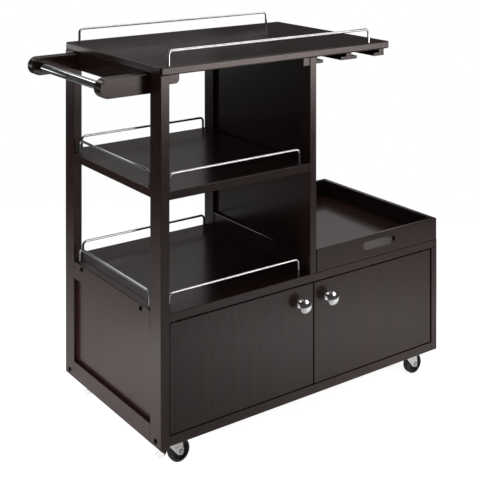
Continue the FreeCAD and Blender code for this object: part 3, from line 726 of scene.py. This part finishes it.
@dataclass
class Casters:
    """Four swivel casters, modelled once at the front left corner and copied; the left two have brakes."""

    corners: tuple[str, ...] = ("front_left", "front_right", "back_left", "back_right")
    braked: tuple[str, ...] = ("front_left", "back_left")
    wheel_radius: float = 25.5
    wheel_width: float = 18.0
    trail: float = 20.0
    rim_radius: float = 18.0
    tread_foot: float = 1.7
    web_width: float = 9.0
    hub_radius: float = 8.0
    hub_width: float = 21.4
    bore_radius: float = 3.2
    core_chamfer: float = 0.8
    web_draft: float = 0.7
    # Depth of the seam between core and tread, in the wheel's side
    tread_seam: float = 0.5
    # How far each point of the tread's shoulder lies inside its radius and the wheel's side
    shoulder: tuple[Ring, ...] = ((3.9, 0.0), (2.2, 0.5), (0.9, 1.6), (0.2, 3.0), (0.0, 4.4))
    # Half the width of the groove round the tread, and its depth
    groove: tuple[float, float] = (0.5, 0.25)
    rib_count: int = 6
    rib_height: float = 2.6
    rib_degrees: float = 10.0
    fork_width: float = 26.0
    fork_sheet: float = 2.0
    bridge_length: float = 40.0
    bridge_level: float = 63.0
    nose_level: float = 57.0
    tip_radius: float = 7.2
    tip_slack: float = 0.1
    heel_lean: float = 2.1
    fold_radius: float = 2.4
    sheet_ease: float = 0.35
    crease_station: float = 4.6
    crease_width: float = 1.7
    crease_height: float = 0.8
    race_radius: float = 17.0
    race_sink: float = 0.2
    # How far inside its radius the race's underside begins and ends
    race_foot: tuple[float, float] = (4.0, 1.8)
    # How far inside the radius each point of its two cups lies, and at which share of its height
    race_cups: tuple[Ring, ...] = (
        (0.5, 0.1), (0.0, 0.27), (0.0, 0.42), (0.9, 0.5), (0.9, 0.6), (0.0, 0.68), (0.0, 0.85), (0.5, 1.0),
        (4.0, 1.0),
    )
    # Radius of each point of the rivet's end, and how far it stands out of the leg
    rivet_end: tuple[Ring, ...] = (
        (2.1, -1.5), (2.3, 1.7), (3.0, 2.0), (4.4, 1.7), (4.9, 0.9), (5.5, 0.7), (5.5, -0.1), (3.0, -0.1),
    )
    # Radii of the rivet's rolled ring, which stays bright zinc; inside it the bore and outside it the
    # shoulder are painted black as shade
    rivet_ring: tuple[float, float] = (2.5, 4.6)
    pivot: tuple[float, float] = (-8.0, 47.0)
    tab_toe: tuple[float, float] = (-36.5, 25.8)
    tab_heel: tuple[float, float] = (-22.0, 29.4)
    tab_width: float = 20.0
    tab_thickness: float = 5.0
    tab_ease: float = 0.6
    tab_ribs: int = 4
    rib_rise: float = 0.7
    arm_taper: Point = (1.0, 0.86, 0.9)
    # How far past its heel the tab is white
    white_reach: float = 0.3
    barrel_radius: float = 4.5
    pedal_chamfer: float = 0.4
    trunnion_radius: float = 2.0
    trunnion_taper: float = 0.5
    trunnion_reach: float = 0.2
    leg_gap: float = 0.4
    shoe_spot: tuple[float, float] = (-6.35, 39.6)
    shoe_radius: float = 3.0
    neck_reach: tuple[float, float] = (3.0, 3.6)
    neck_inset: float = 0.6
    neck_ease: float = 0.5
    models: dict[str, Piece] = field(default_factory=dict)

    def swivel(self, corner: str) -> Vector:
        """Point of the floor under the swivel axis of a corner's caster."""
        low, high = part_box(f"{corner}_caster_fork")
        return Vector((low.x + self.bridge_length / 2 * MM, (low.y + high.y) / 2, 0))

    def spot(self, x: float, y: float, z: float) -> Vector:
        """Point of the modelled caster in millimetres from its swivel axis and the floor."""
        return self.swivel(self.corners[0]) + Vector((x, y, z)) * MM

    def build(self) -> None:
        """Models each piece once at the first corner."""
        self.models["wheel"] = self.build_wheel()
        self.models["fork"] = self.build_fork()
        self.models["axle"] = self.build_axle()
        self.models["pedal"] = self.build_pedal()

    def build_wheel(self) -> Piece:
        """Turns the wheel and raises the ribs of its webs.

        Returns:
            The wheel, with its tread in rubber and its core in nylon.
        """
        end, web, edge = self.hub_width / 2, self.web_width / 2, self.wheel_width / 2
        tyre, rim, hub = self.wheel_radius, self.rim_radius, self.hub_radius
        bevel, draft = self.core_chamfer, self.web_draft
        # From the bore over hub, web, rim and shoulder to the fine groove round the middle of the tread
        half = [
            (self.bore_radius, -end), (hub - bevel, -end), (hub, bevel - end), (hub + draft, -web),
            (rim - draft, -web), (rim, bevel - edge), (rim + bevel, -edge),
            (rim + 2 * bevel, self.tread_seam - edge),
            *((tyre - inside, depth - edge) for inside, depth in self.shoulder),
            (tyre, -self.groove[0]), (tyre - self.groove[1], 0.0),
        ]
        rings = half + [(radius, -height) for radius, height in half[-2::-1]]
        hub_spot = self.spot(self.trail, 0, self.wheel_radius)
        wheel = turned("caster_wheel", hub_spot, Axis.BACK, rings, sides=72)

        def on_rib(place: Vector, normal: Vector, side: int) -> bool:
            """Tells whether a face of a web lies under a rib.

            Args:
                place: the face's middle.
                normal: its normal.
                side: -1 for the front web, 1 for the back one.

            Returns:
                Whether a rib rises there.
            """
            out = place - hub_spot
            turn = math.degrees(math.atan2(out.z, out.x)) % (360 / self.rib_count)
            on_web = hub < off_axis(hub_spot, place) < rim and normal.y * side > ALONG
            return on_web and turn < self.rib_degrees

        with editing(wheel):
            for side in (-1, 1):
                pick(Element.FACE, lambda place, normal, side=side: on_rib(place, normal, side))
                draw_out(Vector((0, side * self.rib_height * MM, 0)))
            close_up()
        polish(wheel)
        finish_in_two(
            wheel, TREAD_RUBBER, CORE_NYLON, lambda place: off_axis(hub_spot, place) < rim + self.tread_foot)
        return wheel

    def build_fork(self) -> Piece:
        """Folds the fork from sheet and sets the bearing race on it.

        Returns:
            The fork with its race.
        """
        middle = self.spot(0, 0, 0)
        tip = self.wheel_radius - self.tip_radius

        def near(value: float, level: float) -> bool:
            """Tells whether a coordinate is at a level in millimetres."""
            return abs(value / MM - level) < NEAR

        select_only()
        bpy.ops.mesh.primitive_plane_add(size=1, location=self.spot(0, 0, self.bridge_level))
        bpy.context.object.scale = (self.bridge_length * MM, self.fork_width * MM, 1)
        fork = started("caster_fork")
        with editing(fork):
            # The legs are folded down to the nose level and on to the tips
            pick(Element.EDGE, lambda place, way: abs(way.x) > ALONG)
            draw_out(Vector((0, 0, (self.nose_level - self.bridge_level) * MM)))
            draw_out(Vector((0, 0, (tip - self.nose_level) * MM)))
            reach = self.trail + self.tip_radius - self.bridge_length / 2
            swing = self.trail - self.tip_radius + self.bridge_length / 2
            for level, ahead, move in (
                (self.nose_level, 1, self.heel_lean), (tip, 1, reach), (tip, -1, swing),
            ):
                pick(Element.VERT, lambda place, way, level=level, ahead=ahead: (
                    near(place.z, level) and (place.x - middle.x) * ahead > 0
                    and near(abs(place.x - middle.x), self.bridge_length / 2)))
                bpy.ops.transform.translate(value=(move * MM, 0, 0))
            # The tips are rounded, the folds get their bend, and a crease stiffens each leg
            pick(Element.VERT, lambda place, way: near(place.z, tip))
            # A hair less than the full radius, so that the two arcs of a tip don't meet
            bpy.ops.mesh.bevel(affect="VERTICES", offset=(self.tip_radius - self.tip_slack) * MM, segments=9)
            pick(Element.EDGE, lambda place, way: abs(way.x) > ALONG and near(place.z, self.bridge_level))
            bpy.ops.mesh.bevel(affect="EDGES", offset=self.fold_radius * MM, segments=5)
            pick(Element.FACE, lambda place, normal: abs(normal.y) > ALONG)
            bpy.ops.mesh.bisect(plane_co=self.spot(self.crease_station, 0, 0), plane_no=(1, 0, 0))
            bpy.ops.mesh.select_mode(type="EDGE")
            bpy.ops.mesh.bevel(affect="EDGES", offset=self.crease_width * MM, segments=2)
            for side in (-1, 1):
                pick(Element.EDGE, lambda place, way, side=side: (
                    abs(way.z) > ALONG and near(place.x - middle.x, self.crease_station)
                    and (place.y - middle.y) * side > 0))
                bpy.ops.transform.translate(value=(0, side * self.crease_height * MM, 0))
            close_up()
        shape_with(fork, "SOLIDIFY", thickness=self.fork_sheet * MM, offset=-1, use_even_offset=True)
        ease(fork, self.sheet_ease, degrees=50)
        foot = self.bridge_level
        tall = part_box(f"{self.corners[0]}_caster_fork")[1].z / MM - foot
        rim = self.race_radius
        # The two cups of the race meet at a groove half way up
        race = turned("caster_race", middle, Axis.UP, [
            *((rim - inside, foot - self.race_sink) for inside in self.race_foot),
            *((rim - inside, foot + share * tall) for inside, share in self.race_cups),
        ], sides=56)
        whole = joined("caster_fork", [fork, race])
        polish(whole)
        return whole

    def build_axle(self) -> Piece:
        """Turns the axle, a tubular rivet rolled over outside both legs.

        Returns:
            The axle, bright on its rolled rings, with painted shade in black on its bore and outer shoulder.
        """
        leg = self.fork_width / 2
        # From the hollow end over the rolled ring and its washer to the leg
        half = [(radius, -leg - proud) for radius, proud in self.rivet_end]
        rings = half + [(radius, -height) for radius, height in half[::-1]]
        hub_spot = self.spot(self.trail, 0, self.wheel_radius)
        axle = turned("caster_axle", hub_spot, Axis.BACK, rings, sides=40)
        polish(axle)
        low, high = self.rivet_ring
        # Painted shade: black oxide on the bore and the outer shoulder stands in for the shade in the hollow
        # and under the rolled rim
        finish_in_two(axle, ZINC, BLACK_OXIDE, lambda place: not low < off_axis(hub_spot, place) < high)
        return axle

    def build_pedal(self) -> Piece:
        """Moulds the brake pedal: a ribbed tab, its arm, the barrel on its trunnions and the shoe.

        Returns:
            The pedal.
        """
        toe, heel, pivot, shoe_spot = (
            Vector((x, 0, z)) for x, z in (self.tab_toe, self.tab_heel, self.pivot, self.shoe_spot)
        )
        way = (heel - toe).normalized()
        up = Vector((-way.z, 0, way.x))
        length = (heel - toe).length
        strips = 2 * self.tab_ribs + 1
        middle = (toe + heel) / 2 + up * self.tab_thickness / 2
        select_only()
        bpy.ops.mesh.primitive_grid_add(
            x_subdivisions=strips, y_subdivisions=3, size=1, location=self.spot(*middle),
            rotation=(0, -math.atan2(way.z, way.x), 0),
        )
        bpy.context.object.scale = (length * MM, self.tab_width * MM, 1)
        tab = started("brake_pedal_tab")
        origin, hinge = self.spot(*toe), self.spot(*pivot)

        def along(place: Vector) -> float:
            """Distance of a point from the toe, up the tab, in millimetres."""
            return (place - origin).dot(way) / MM

        with editing(tab):
            bpy.ops.mesh.select_mode(type="FACE")
            bpy.ops.mesh.select_all(action="SELECT")
            draw_out(-up * self.tab_thickness * MM)
            close_up()
            # The arm rises from the heel to the barrel, and ribs stand on every other strip of the tab
            pick(Element.FACE, lambda place, normal: normal.dot(way) > ALONG)
            draw_out((pivot - heel) * MM)
            bpy.ops.transform.resize(value=self.arm_taper, center_override=hinge)
            pick(Element.FACE, lambda place, normal: (
                normal.dot(up) > ALONG and along(place) < length
                and int(along(place) / length * strips) % 2 == 1
                and abs(place.y - origin.y) < self.tab_width / 4 * MM))
            draw_out(up * self.rib_rise * MM)
            close_up()
        ease(tab, self.tab_ease, degrees=35)
        inner = self.fork_width / 2 - self.fork_sheet - self.leg_gap
        outer = self.fork_width / 2 + self.trunnion_reach
        pin, drum, pad = self.trunnion_radius, self.barrel_radius, self.shoe_radius
        bevel = self.pedal_chamfer
        half = [
            (pin - self.trunnion_taper, -outer), (pin, bevel - outer), (pin, -inner), (drum - bevel, -inner),
            (drum, bevel - inner),
        ]
        rings = half + [(radius, -height) for radius, height in half[::-1]]
        barrel = turned("brake_pedal_barrel", hinge, Axis.BACK, rings, sides=32)
        shoe = turned("brake_pedal_shoe", self.spot(*shoe_spot), Axis.BACK, [
            (pad - bevel, -inner), (pad, bevel - inner), (pad, inner - bevel), (pad - bevel, inner),
        ], sides=24)
        side = inner - self.neck_inset
        neck = block(
            "brake_pedal_neck", self.spot(shoe_spot.x - self.neck_reach[0], -side, shoe_spot.z),
            self.spot(pivot.x + self.neck_reach[1], side, pivot.z))
        ease(neck, self.neck_ease)
        pedal = joined("brake_pedal", [tab, barrel, shoe, neck])
        polish(pedal)
        finish_in_two(pedal, PEDAL_NYLON, CORE_NYLON, lambda place: along(place) > length + self.white_reach)
        return pedal

    def dress(self) -> None:
        """Finishes the models, copies them to the other corners and puts all on their bodies."""
        ZINC.coat(self.models["fork"])
        home = self.swivel(self.corners[0])
        for corner in self.corners:
            place = Matrix.Translation(self.swivel(corner) - home)
            for kind, body, slot in (
                ("wheel", "wheel", "wheel_rubber"), ("fork", "swivel", "plated_steel"),
                ("axle", "swivel", "plated_steel"), ("pedal", "pedal", "white_plastic"),
            ):
                if kind == "pedal" and corner not in self.braked:
                    continue
                node = f"{corner}_brake_pedal" if kind == "pedal" else f"{corner}_caster_{kind}"
                piece = copied(self.models[kind], f"{node}_dressed", place)
                settle(piece, f"{corner}_{body}", node)
        for model in self.models.values():
            bpy.data.objects.remove(model)


@dataclass
class Screws:
    """Pan-head screws under the caster plates and in the fittings of the doors, modelled once and copied."""

    head_radius: float = 3.7
    head_height: float = 2.2
    # How far each point of the pan lies inside the head's radius, and its height
    pan: tuple[Ring, ...] = ((0.2, 0.0), (0.0, 0.25), (0.1, 0.8), (0.6, 1.4), (1.5, 1.9), (2.6, 2.15))
    crown_radius: float = 0.4
    recess_length: float = 4.2
    recess_width: float = 0.95
    recess_depth: float = 1.3
    cutter_rise: float = 1.0
    plate_inset: float = 17.5
    plate_thickness: float = 2.5
    # How far each head is left turned, in radians, by the corner of the plate that it is in
    plate_turns: tuple[float, float] = (0.4, 0.9)
    striker_thickness: float = 1.2
    striker_level: float = 8.5
    striker_steps: tuple[float, float] = (4.8, 21.2)
    striker_scale: float = 0.8

    def build(self) -> None:
        """Turns one head, cuts its cross recess and copies it to every place."""
        tall, wide = self.head_height, self.head_radius
        head = turned("screw_head", Vector(), Axis.UP, [
            *((wide - inside, height) for inside, height in self.pan), (self.crown_radius, tall),
        ], sides=24)
        for long_way in (0, 1):
            half = Vector((self.recess_length, self.recess_width, 0)) / 2 * MM
            half = Vector((half.y, half.x, 0)) if long_way else half
            high = Vector((0, 0, (tall + self.cutter_rise) * MM))
            low = Vector((0, 0, (tall - self.recess_depth) * MM))
            cutter = block("recess_cutter", low - half, high + half)
            shape_with(head, "BOOLEAN", object=cutter, operation="DIFFERENCE", solver="EXACT")
            bpy.data.objects.remove(cutter)
        polish(head)
        ZINC.coat(head)
        self.copies("caster_plate_screws", "cart", head, self.plate_places())
        for door, way in (("left_door", -1), ("right_door", 1)):
            self.copies(f"{door}_striker_screws", door, head, self.striker_places(door, way))
        bpy.data.objects.remove(head)

    def plate_places(self) -> list[Matrix]:
        """Gives the places of the screws in the corners of the four plates, heads down.

        Returns:
            The move of the modelled head to each place.
        """
        places = []
        casters = Casters()
        inset, level = self.plate_inset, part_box("cabinet_bottom")[0].z / MM - self.plate_thickness
        for corner in casters.corners:
            for i, j in ((-1, -1), (-1, 1), (1, -1), (1, 1)):
                spot = casters.swivel(corner) + Vector((i * inset, j * inset, level)) * MM
                turn = Matrix.Rotation(self.plate_turns[0] * i + self.plate_turns[1] * j, 4, "Z")
                places.append(Matrix.Translation(spot) @ Matrix.Rotation(math.pi, 4, "X") @ turn)
        return places

    def striker_places(self, door: str, way: int) -> list[Matrix]:
        """Gives the places of the two screws of a door's striker, heads to the back.

        Args:
            door: the door's node.
            way: the way from the meeting edge into the door, along x.

        Returns:
            The move of the modelled head to each place.
        """
        low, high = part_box(f"{door}_fittings")
        edge = high.x if way < 0 else low.x
        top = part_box(door)[1]
        back, level = top.y + self.striker_thickness * MM, top.z - self.striker_level * MM
        laid = Matrix.Rotation(-math.pi / 2, 4, "X") @ Matrix.Scale(self.striker_scale, 4)
        return [
            Matrix.Translation((edge + way * step * MM, back, level)) @ laid for step in self.striker_steps
        ]

    def copies(self, name: str, body: str, head: Piece, places: Sequence[Matrix]) -> None:
        """Copies the head to its places as one piece on a body.

        Args:
            name: the name of the piece.
            body: the body that it rides on.
            head: the modelled head.
            places: where each copy goes.
        """
        piece = joined(name, [copied(head, f"{name}_{count}", place) for count, place in enumerate(places)])
        settle(piece, body)


@dataclass
class MagneticCatch:
    """Double magnetic catch behind the meeting doors: a moulded body with two pairs of steel poles."""

    case_ease: float = 0.5
    window_border: float = 2.6
    window_depth: float = 0.9
    pole_thickness: float = 1.6
    pole_reach: float = 0.7
    pole_inset: float = 1.2
    pole_depth: float = 3.0
    pole_ease: float = 0.25

    def build(self) -> None:
        """Moulds the body with its two windows and sets the poles in them."""
        low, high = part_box("magnetic_catch")
        middle = (low.x + high.x) / 2
        body = block("magnetic_catch_body", low, high)
        with editing(body):
            bpy.ops.mesh.select_all(action="SELECT")
            bpy.ops.mesh.bisect(plane_co=(middle, 0, 0), plane_no=(1, 0, 0))
            pick(Element.FACE, lambda place, normal: normal.y < -ALONG)
            bpy.ops.mesh.inset(thickness=self.window_border * MM, use_individual=True)
            draw_out(Vector((0, self.window_depth * MM, 0)))
            close_up()
        ease(body, self.case_ease)
        polish(body)
        CATCH_ABS.coat(body)
        settle(body, "cart", "magnetic_catch")
        poles = []
        border = (self.window_border + self.pole_inset) * MM
        for left, right in ((low.x, middle), (middle, high.x)):
            for level in (low.z + border, high.z - border - self.pole_thickness * MM):
                pole = block(
                    "magnetic_catch_pole",
                    Vector((left + border, low.y + (self.window_depth - self.pole_reach) * MM, level)),
                    Vector((right - border, low.y + self.pole_depth * MM, level + self.pole_thickness * MM)))
                ease(pole, self.pole_ease)
                poles.append(pole)
        piece = joined("magnetic_catch_poles", poles)
        polish(piece)
        ZINC.coat(piece)
        settle(piece, "cart")


# Studio


@dataclass(frozen=True)
class PaleSweep(Finish):
    """Matt white paper of the studio floor, lit from below as well, that fades out round the cart.

    The lacquer mirrors it stronger to the front right than to the back left, and the camera sees it white.
    Two pools of paper, left of the cart and in front of it, stay full, and it fades out round them.
    """

    title: str = "pale_paper_sweep"
    dark: str = "#f0f0ef"
    light: str = "#f3f3f2"
    mottle: float = 30.0
    roughness: float = 0.9
    glow_front: float = 0.30
    glow_back: float = 0.185
    glow_seen: float = 0.975
    glow_way: Point = (-0.71, 0.71, 0.0)
    glow_span: tuple[float, float] = (-0.8, 0.6)
    pools: tuple[Point, Point] = ((-0.40, 0.40, 0.0), (0.60, -0.60, 0.0))
    fade_span: tuple[float, float] = (0.35, 1.50)

    def paint(self, tree: Tree, shader: Node, place: Socket) -> None:
        """Wires the paper's faint mottle, its glow and its soft end.

        Args:
            tree: the material's tree.
            shader: its surface shader.
            place: the object coordinates in metres.
        """
        fibres = add_node(tree, "ShaderNodeTexNoise", {
            "Vector": place, "Scale": 1 / (self.mottle * MM), "Detail": 2.0,
        }).outputs["Fac"]
        stops = tuple(zip(MARKS, (self.dark, self.light)))
        tone = add_node(tree, "ShaderNodeValToRGB", {"Fac": fibres}, stops)
        for socket in ("Base Color", "Emission Color"):
            tree.links.new(tone.outputs["Color"], shader.inputs[socket])
        run = add_node(tree, "ShaderNodeVectorMath", {0: place, 1: self.glow_way}, operation="DOT_PRODUCT")
        mirrored = add_node(tree, "ShaderNodeMapRange", {
            "Value": run.outputs["Value"], "From Min": self.glow_span[0], "From Max": self.glow_span[1],
            "To Min": self.glow_front, "To Max": self.glow_back,
        })
        glow = add_node(tree, "ShaderNodeMix", {
            "Factor": add_node(tree, "ShaderNodeLightPath").outputs["Is Camera Ray"],
            "A": mirrored.outputs["Result"], "B": self.glow_seen,
        }, data_type="FLOAT")
        tree.links.new(glow.outputs["Result"], shader.inputs["Emission Strength"])
        shader.inputs["Roughness"].default_value = self.roughness
        near_left, near_front = (
            add_node(tree, "ShaderNodeVectorMath", {0: place, 1: pool}, operation="DISTANCE").outputs["Value"]
            for pool in self.pools
        )
        reach = add_node(tree, "ShaderNodeMath", {0: near_left, 1: near_front}, operation="MINIMUM")
        fade = add_node(tree, "ShaderNodeMapRange", {
            "Value": reach.outputs["Value"], "From Min": self.fade_span[0], "From Max": self.fade_span[1],
            "To Min": 1.0, "To Max": 0.0,
        })
        tree.links.new(fade.outputs["Result"], shader.inputs["Alpha"])


# Warm white of the lights at the back, and the nodes of the upper left end that they are kept off
BACK_TINT = "#fff8f6"
UPPER_LEFT = ("left_end_top_rail", "front_left_post")


class Use(Enum):
    """What a studio light does to the cart: lights it, is mirrored in it, or both."""

    BOTH = "both"
    LIT = "lit"
    MIRRORED = "mirrored"


@dataclass(frozen=True)
class Softbox:
    """Rectangular studio light or reflecting card."""

    name: str
    place: Point
    aim: Point
    size: tuple[float, float]
    watts: float
    spread: float = 180.0
    use: Use = Use.BOTH
    # Pieces that a black flag keeps out of the light, or the only ones that a snoot lets it reach
    flagged: tuple[str, ...] = ()
    only: tuple[str, ...] = ()
    tint: str = "#ffffff"

    def build(self) -> None:
        """Hangs the light at its place, turns it to its aim and screens it."""
        lamp = bpy.data.lights.new(self.name, "AREA")
        lamp.shape = "RECTANGLE"
        lamp.size, lamp.size_y = self.size
        lamp.energy = self.watts
        lamp.color = linear(self.tint)[:3]
        lamp.spread = math.radians(self.spread)
        light = bpy.data.objects.new(self.name, lamp)
        light.location = self.place
        light.rotation_euler = (Vector(self.aim) - Vector(self.place)).to_track_quat("-Z", "Y").to_euler()
        light.visible_camera = False
        light.visible_glossy = self.use is not Use.LIT
        light.visible_diffuse = self.use is not Use.MIRRORED
        bpy.context.scene.collection.objects.link(light)
        for state, names in (("EXCLUDE", self.flagged), ("INCLUDE", self.only)):
            if names:
                screen = bpy.data.collections.new(f"{self.name}_screen")
                for name in names:
                    screen.objects.link(bpy.data.objects[name])
                for link in screen.collection_objects:
                    link.light_linking.link_state = state
                light.light_linking.receiver_collection = screen


@dataclass
class Studio:
    """Pale floor, soft light and the camera at the photograph's angle."""

    floor_size: float = 6.0
    camera_place: Point = (-1.49933, -2.10011, 1.26788)
    camera_yaw: float = 0.62049
    camera_pitch: float = -0.00321
    camera_fall: float = 0.33774
    lens: float = 78.07
    room_light: float = 0.05
    lights: tuple[Softbox, ...] = (
        # Even light from above, and a long box and a card mirrored in the front faces' upper ends
        Softbox("top_softbox", (0.5, 0.2, 2.7), (0.5, 0.2, 0.0), (2.6, 2.4), 32.0),
        Softbox(
            "front_softbox", (1.70, -2.2, 0.725), (1.70, 0.0, 0.725), (2.7, 0.63), 28.0, use=Use.MIRRORED,
            flagged=KNOBS, tint="#fff2ee",
        ),
        Softbox(
            "edge_card", (1.515, -2.3, 0.35), (1.515, 0.0, 0.35), (1.03, 0.22), 2.6, use=Use.MIRRORED,
            only=("top_panel", "top_cleats", "divider_front_stile", "front_left_post"), tint="#ffeee9",
        ),
        # A card behind the left end, mirrored in the far end of the top's left edge
        Softbox(
            "end_card", (-1.80, 3.2, 0.55), (-1.80, 0.0, 0.55), (0.8, 0.8), 4.0, use=Use.MIRRORED,
            only=("top_panel",), tint=BACK_TINT,
        ),
        # Boxes at the back, mirrored in the shelves and the tray, and kept off the darker top
        Softbox(
            "back_softbox", (2.3, 3.6, 2.98), (2.3, 0.0, 2.98), (3.8, 1.95), 12.0,
            flagged=("top_panel", *UPPER_LEFT), tint=BACK_TINT,
        ),
        Softbox(
            "tray_softbox", (3.5, 3.6, 1.88), (3.5, 0.0, 1.88), (1.1, 0.25), 0.85,
            flagged=("top_panel",), tint=BACK_TINT,
        ),
        Softbox(
            "low_back_softbox", (1.375, 3.6, 1.80), (1.375, 0.0, 1.80), (1.95, 0.41), 0.40, tint=BACK_TINT,
        ),
        Softbox("back_strip", (-1.1, 3.2, 3.0), (-0.4, 0.0, 0.8), (1.2, 0.9), 10.0, flagged=UPPER_LEFT),
        # Light that fills the left end and the front without showing in the lacquer
        Softbox("fill_softbox", (-2.2, -2.6, 1.8), (0.0, 0.0, 0.4), (1.6, 1.6), 9.0, use=Use.LIT),
        Softbox("left_softbox", (-3.0, 0.3, 1.3), (-0.3, 0.0, 0.4), (1.8, 1.8), 8.0, use=Use.LIT),
        Softbox(
            "left_bounce", (-0.90, 0.0, 0.13), (-0.36, 0.0, 0.16), (0.9, 0.22), 2.6, spread=130.0,
            use=Use.LIT,
        ),
        Softbox(
            "front_bounce", (0.45, -0.85, 0.25), (0.30, -0.21, 0.22), (0.8, 0.25), 1.9, spread=150.0,
            use=Use.LIT,
        ),
        # Cards that are only mirrored: in the left edges, in the knobs and in the chrome rails
        Softbox(
            "back_card", (-1.80, 3.2, 0.55), (-1.80, 0.0, 0.55), (0.5, 0.6), 1.9, use=Use.MIRRORED,
            flagged=UPPER_LEFT,
        ),
        Softbox(
            "knob_card", (1.05, -1.45, 1.85), (0.1, -0.24, 0.3), (1.9, 1.2), 14.0, use=Use.MIRRORED,
            only=KNOBS,
        ),
        Softbox("rail_card", (1.6, -1.9, 2.3), (0.0, 0.0, 0.9), (2.2, 1.6), 2.2, use=Use.MIRRORED),
    )

    def build(self) -> None:
        """Lays the floor, hangs the lights and sets the room and the camera."""
        self.build_floor()
        for light in self.lights:
            light.build()
            log.info("%s lights the cart", light.name)
        self.build_room()
        self.build_camera()

    def build_floor(self) -> None:
        """Lays the paper under the wheels."""
        select_only()
        bpy.ops.mesh.primitive_plane_add(size=self.floor_size)
        floor = started("studio_floor")
        PaleSweep().coat(floor)
        log.info("%s lies under the wheels", floor.name)

    def build_room(self) -> None:
        """Makes the room white to look at and dim as a light."""
        world = bpy.data.worlds.new("studio_room")
        world.use_nodes = True
        tree = world.node_tree
        tree.nodes.clear()
        dim, seen = (
            add_node(tree, "ShaderNodeBackground", {"Color": linear("#ffffff"), "Strength": strength})
            for strength in (self.room_light, 1.0)
        )
        rays = add_node(tree, "ShaderNodeLightPath")
        mixed = add_node(tree, "ShaderNodeMixShader", {
            0: rays.outputs["Is Camera Ray"], 1: dim.outputs["Background"], 2: seen.outputs["Background"],
        })
        add_node(tree, "ShaderNodeOutputWorld", {"Surface": mixed.outputs["Shader"]})
        bpy.context.scene.world = world
        bpy.context.scene.view_settings.view_transform = "Standard"

    def build_camera(self) -> None:
        """Stands a view camera where the photograph was taken from.

        Its back stays upright, so that the posts stay parallel in the picture, and its stand leans the
        lens axis down to the cart.
        """
        stretch = math.hypot(1, self.camera_fall)
        data = bpy.data.cameras.new("studio_camera")
        data.lens = self.lens * stretch
        camera = bpy.data.objects.new("studio_camera", data)
        stand = bpy.data.objects.new("camera_stand", None)
        camera.location = self.camera_place
        camera.rotation_euler = (math.pi / 2 + self.camera_pitch, 0, -self.camera_yaw)
        lean = Matrix.Identity(4)
        lean[1][2], lean[2][2] = self.camera_fall / stretch, 1 / stretch
        level = camera.matrix_basis.copy()
        camera.parent = stand
        camera.matrix_parent_inverse = level @ lean @ level.inverted()
        for thing in (stand, camera):
            bpy.context.scene.collection.objects.link(thing)
        bpy.context.scene.camera = camera
        log.info("%s looks at the cart", camera.name)


def main() -> None:
    """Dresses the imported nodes, models the finer pieces and sets up the studio."""
    logging.basicConfig(level=logging.INFO, format="%(message)s")
    WoodWork().dress()
    MetalWork().dress()
    casters = Casters()
    casters.build()
    casters.dress()
    Screws().build()
    MagneticCatch().build()
    Studio().build()


if __name__ == "__main__":
    main()
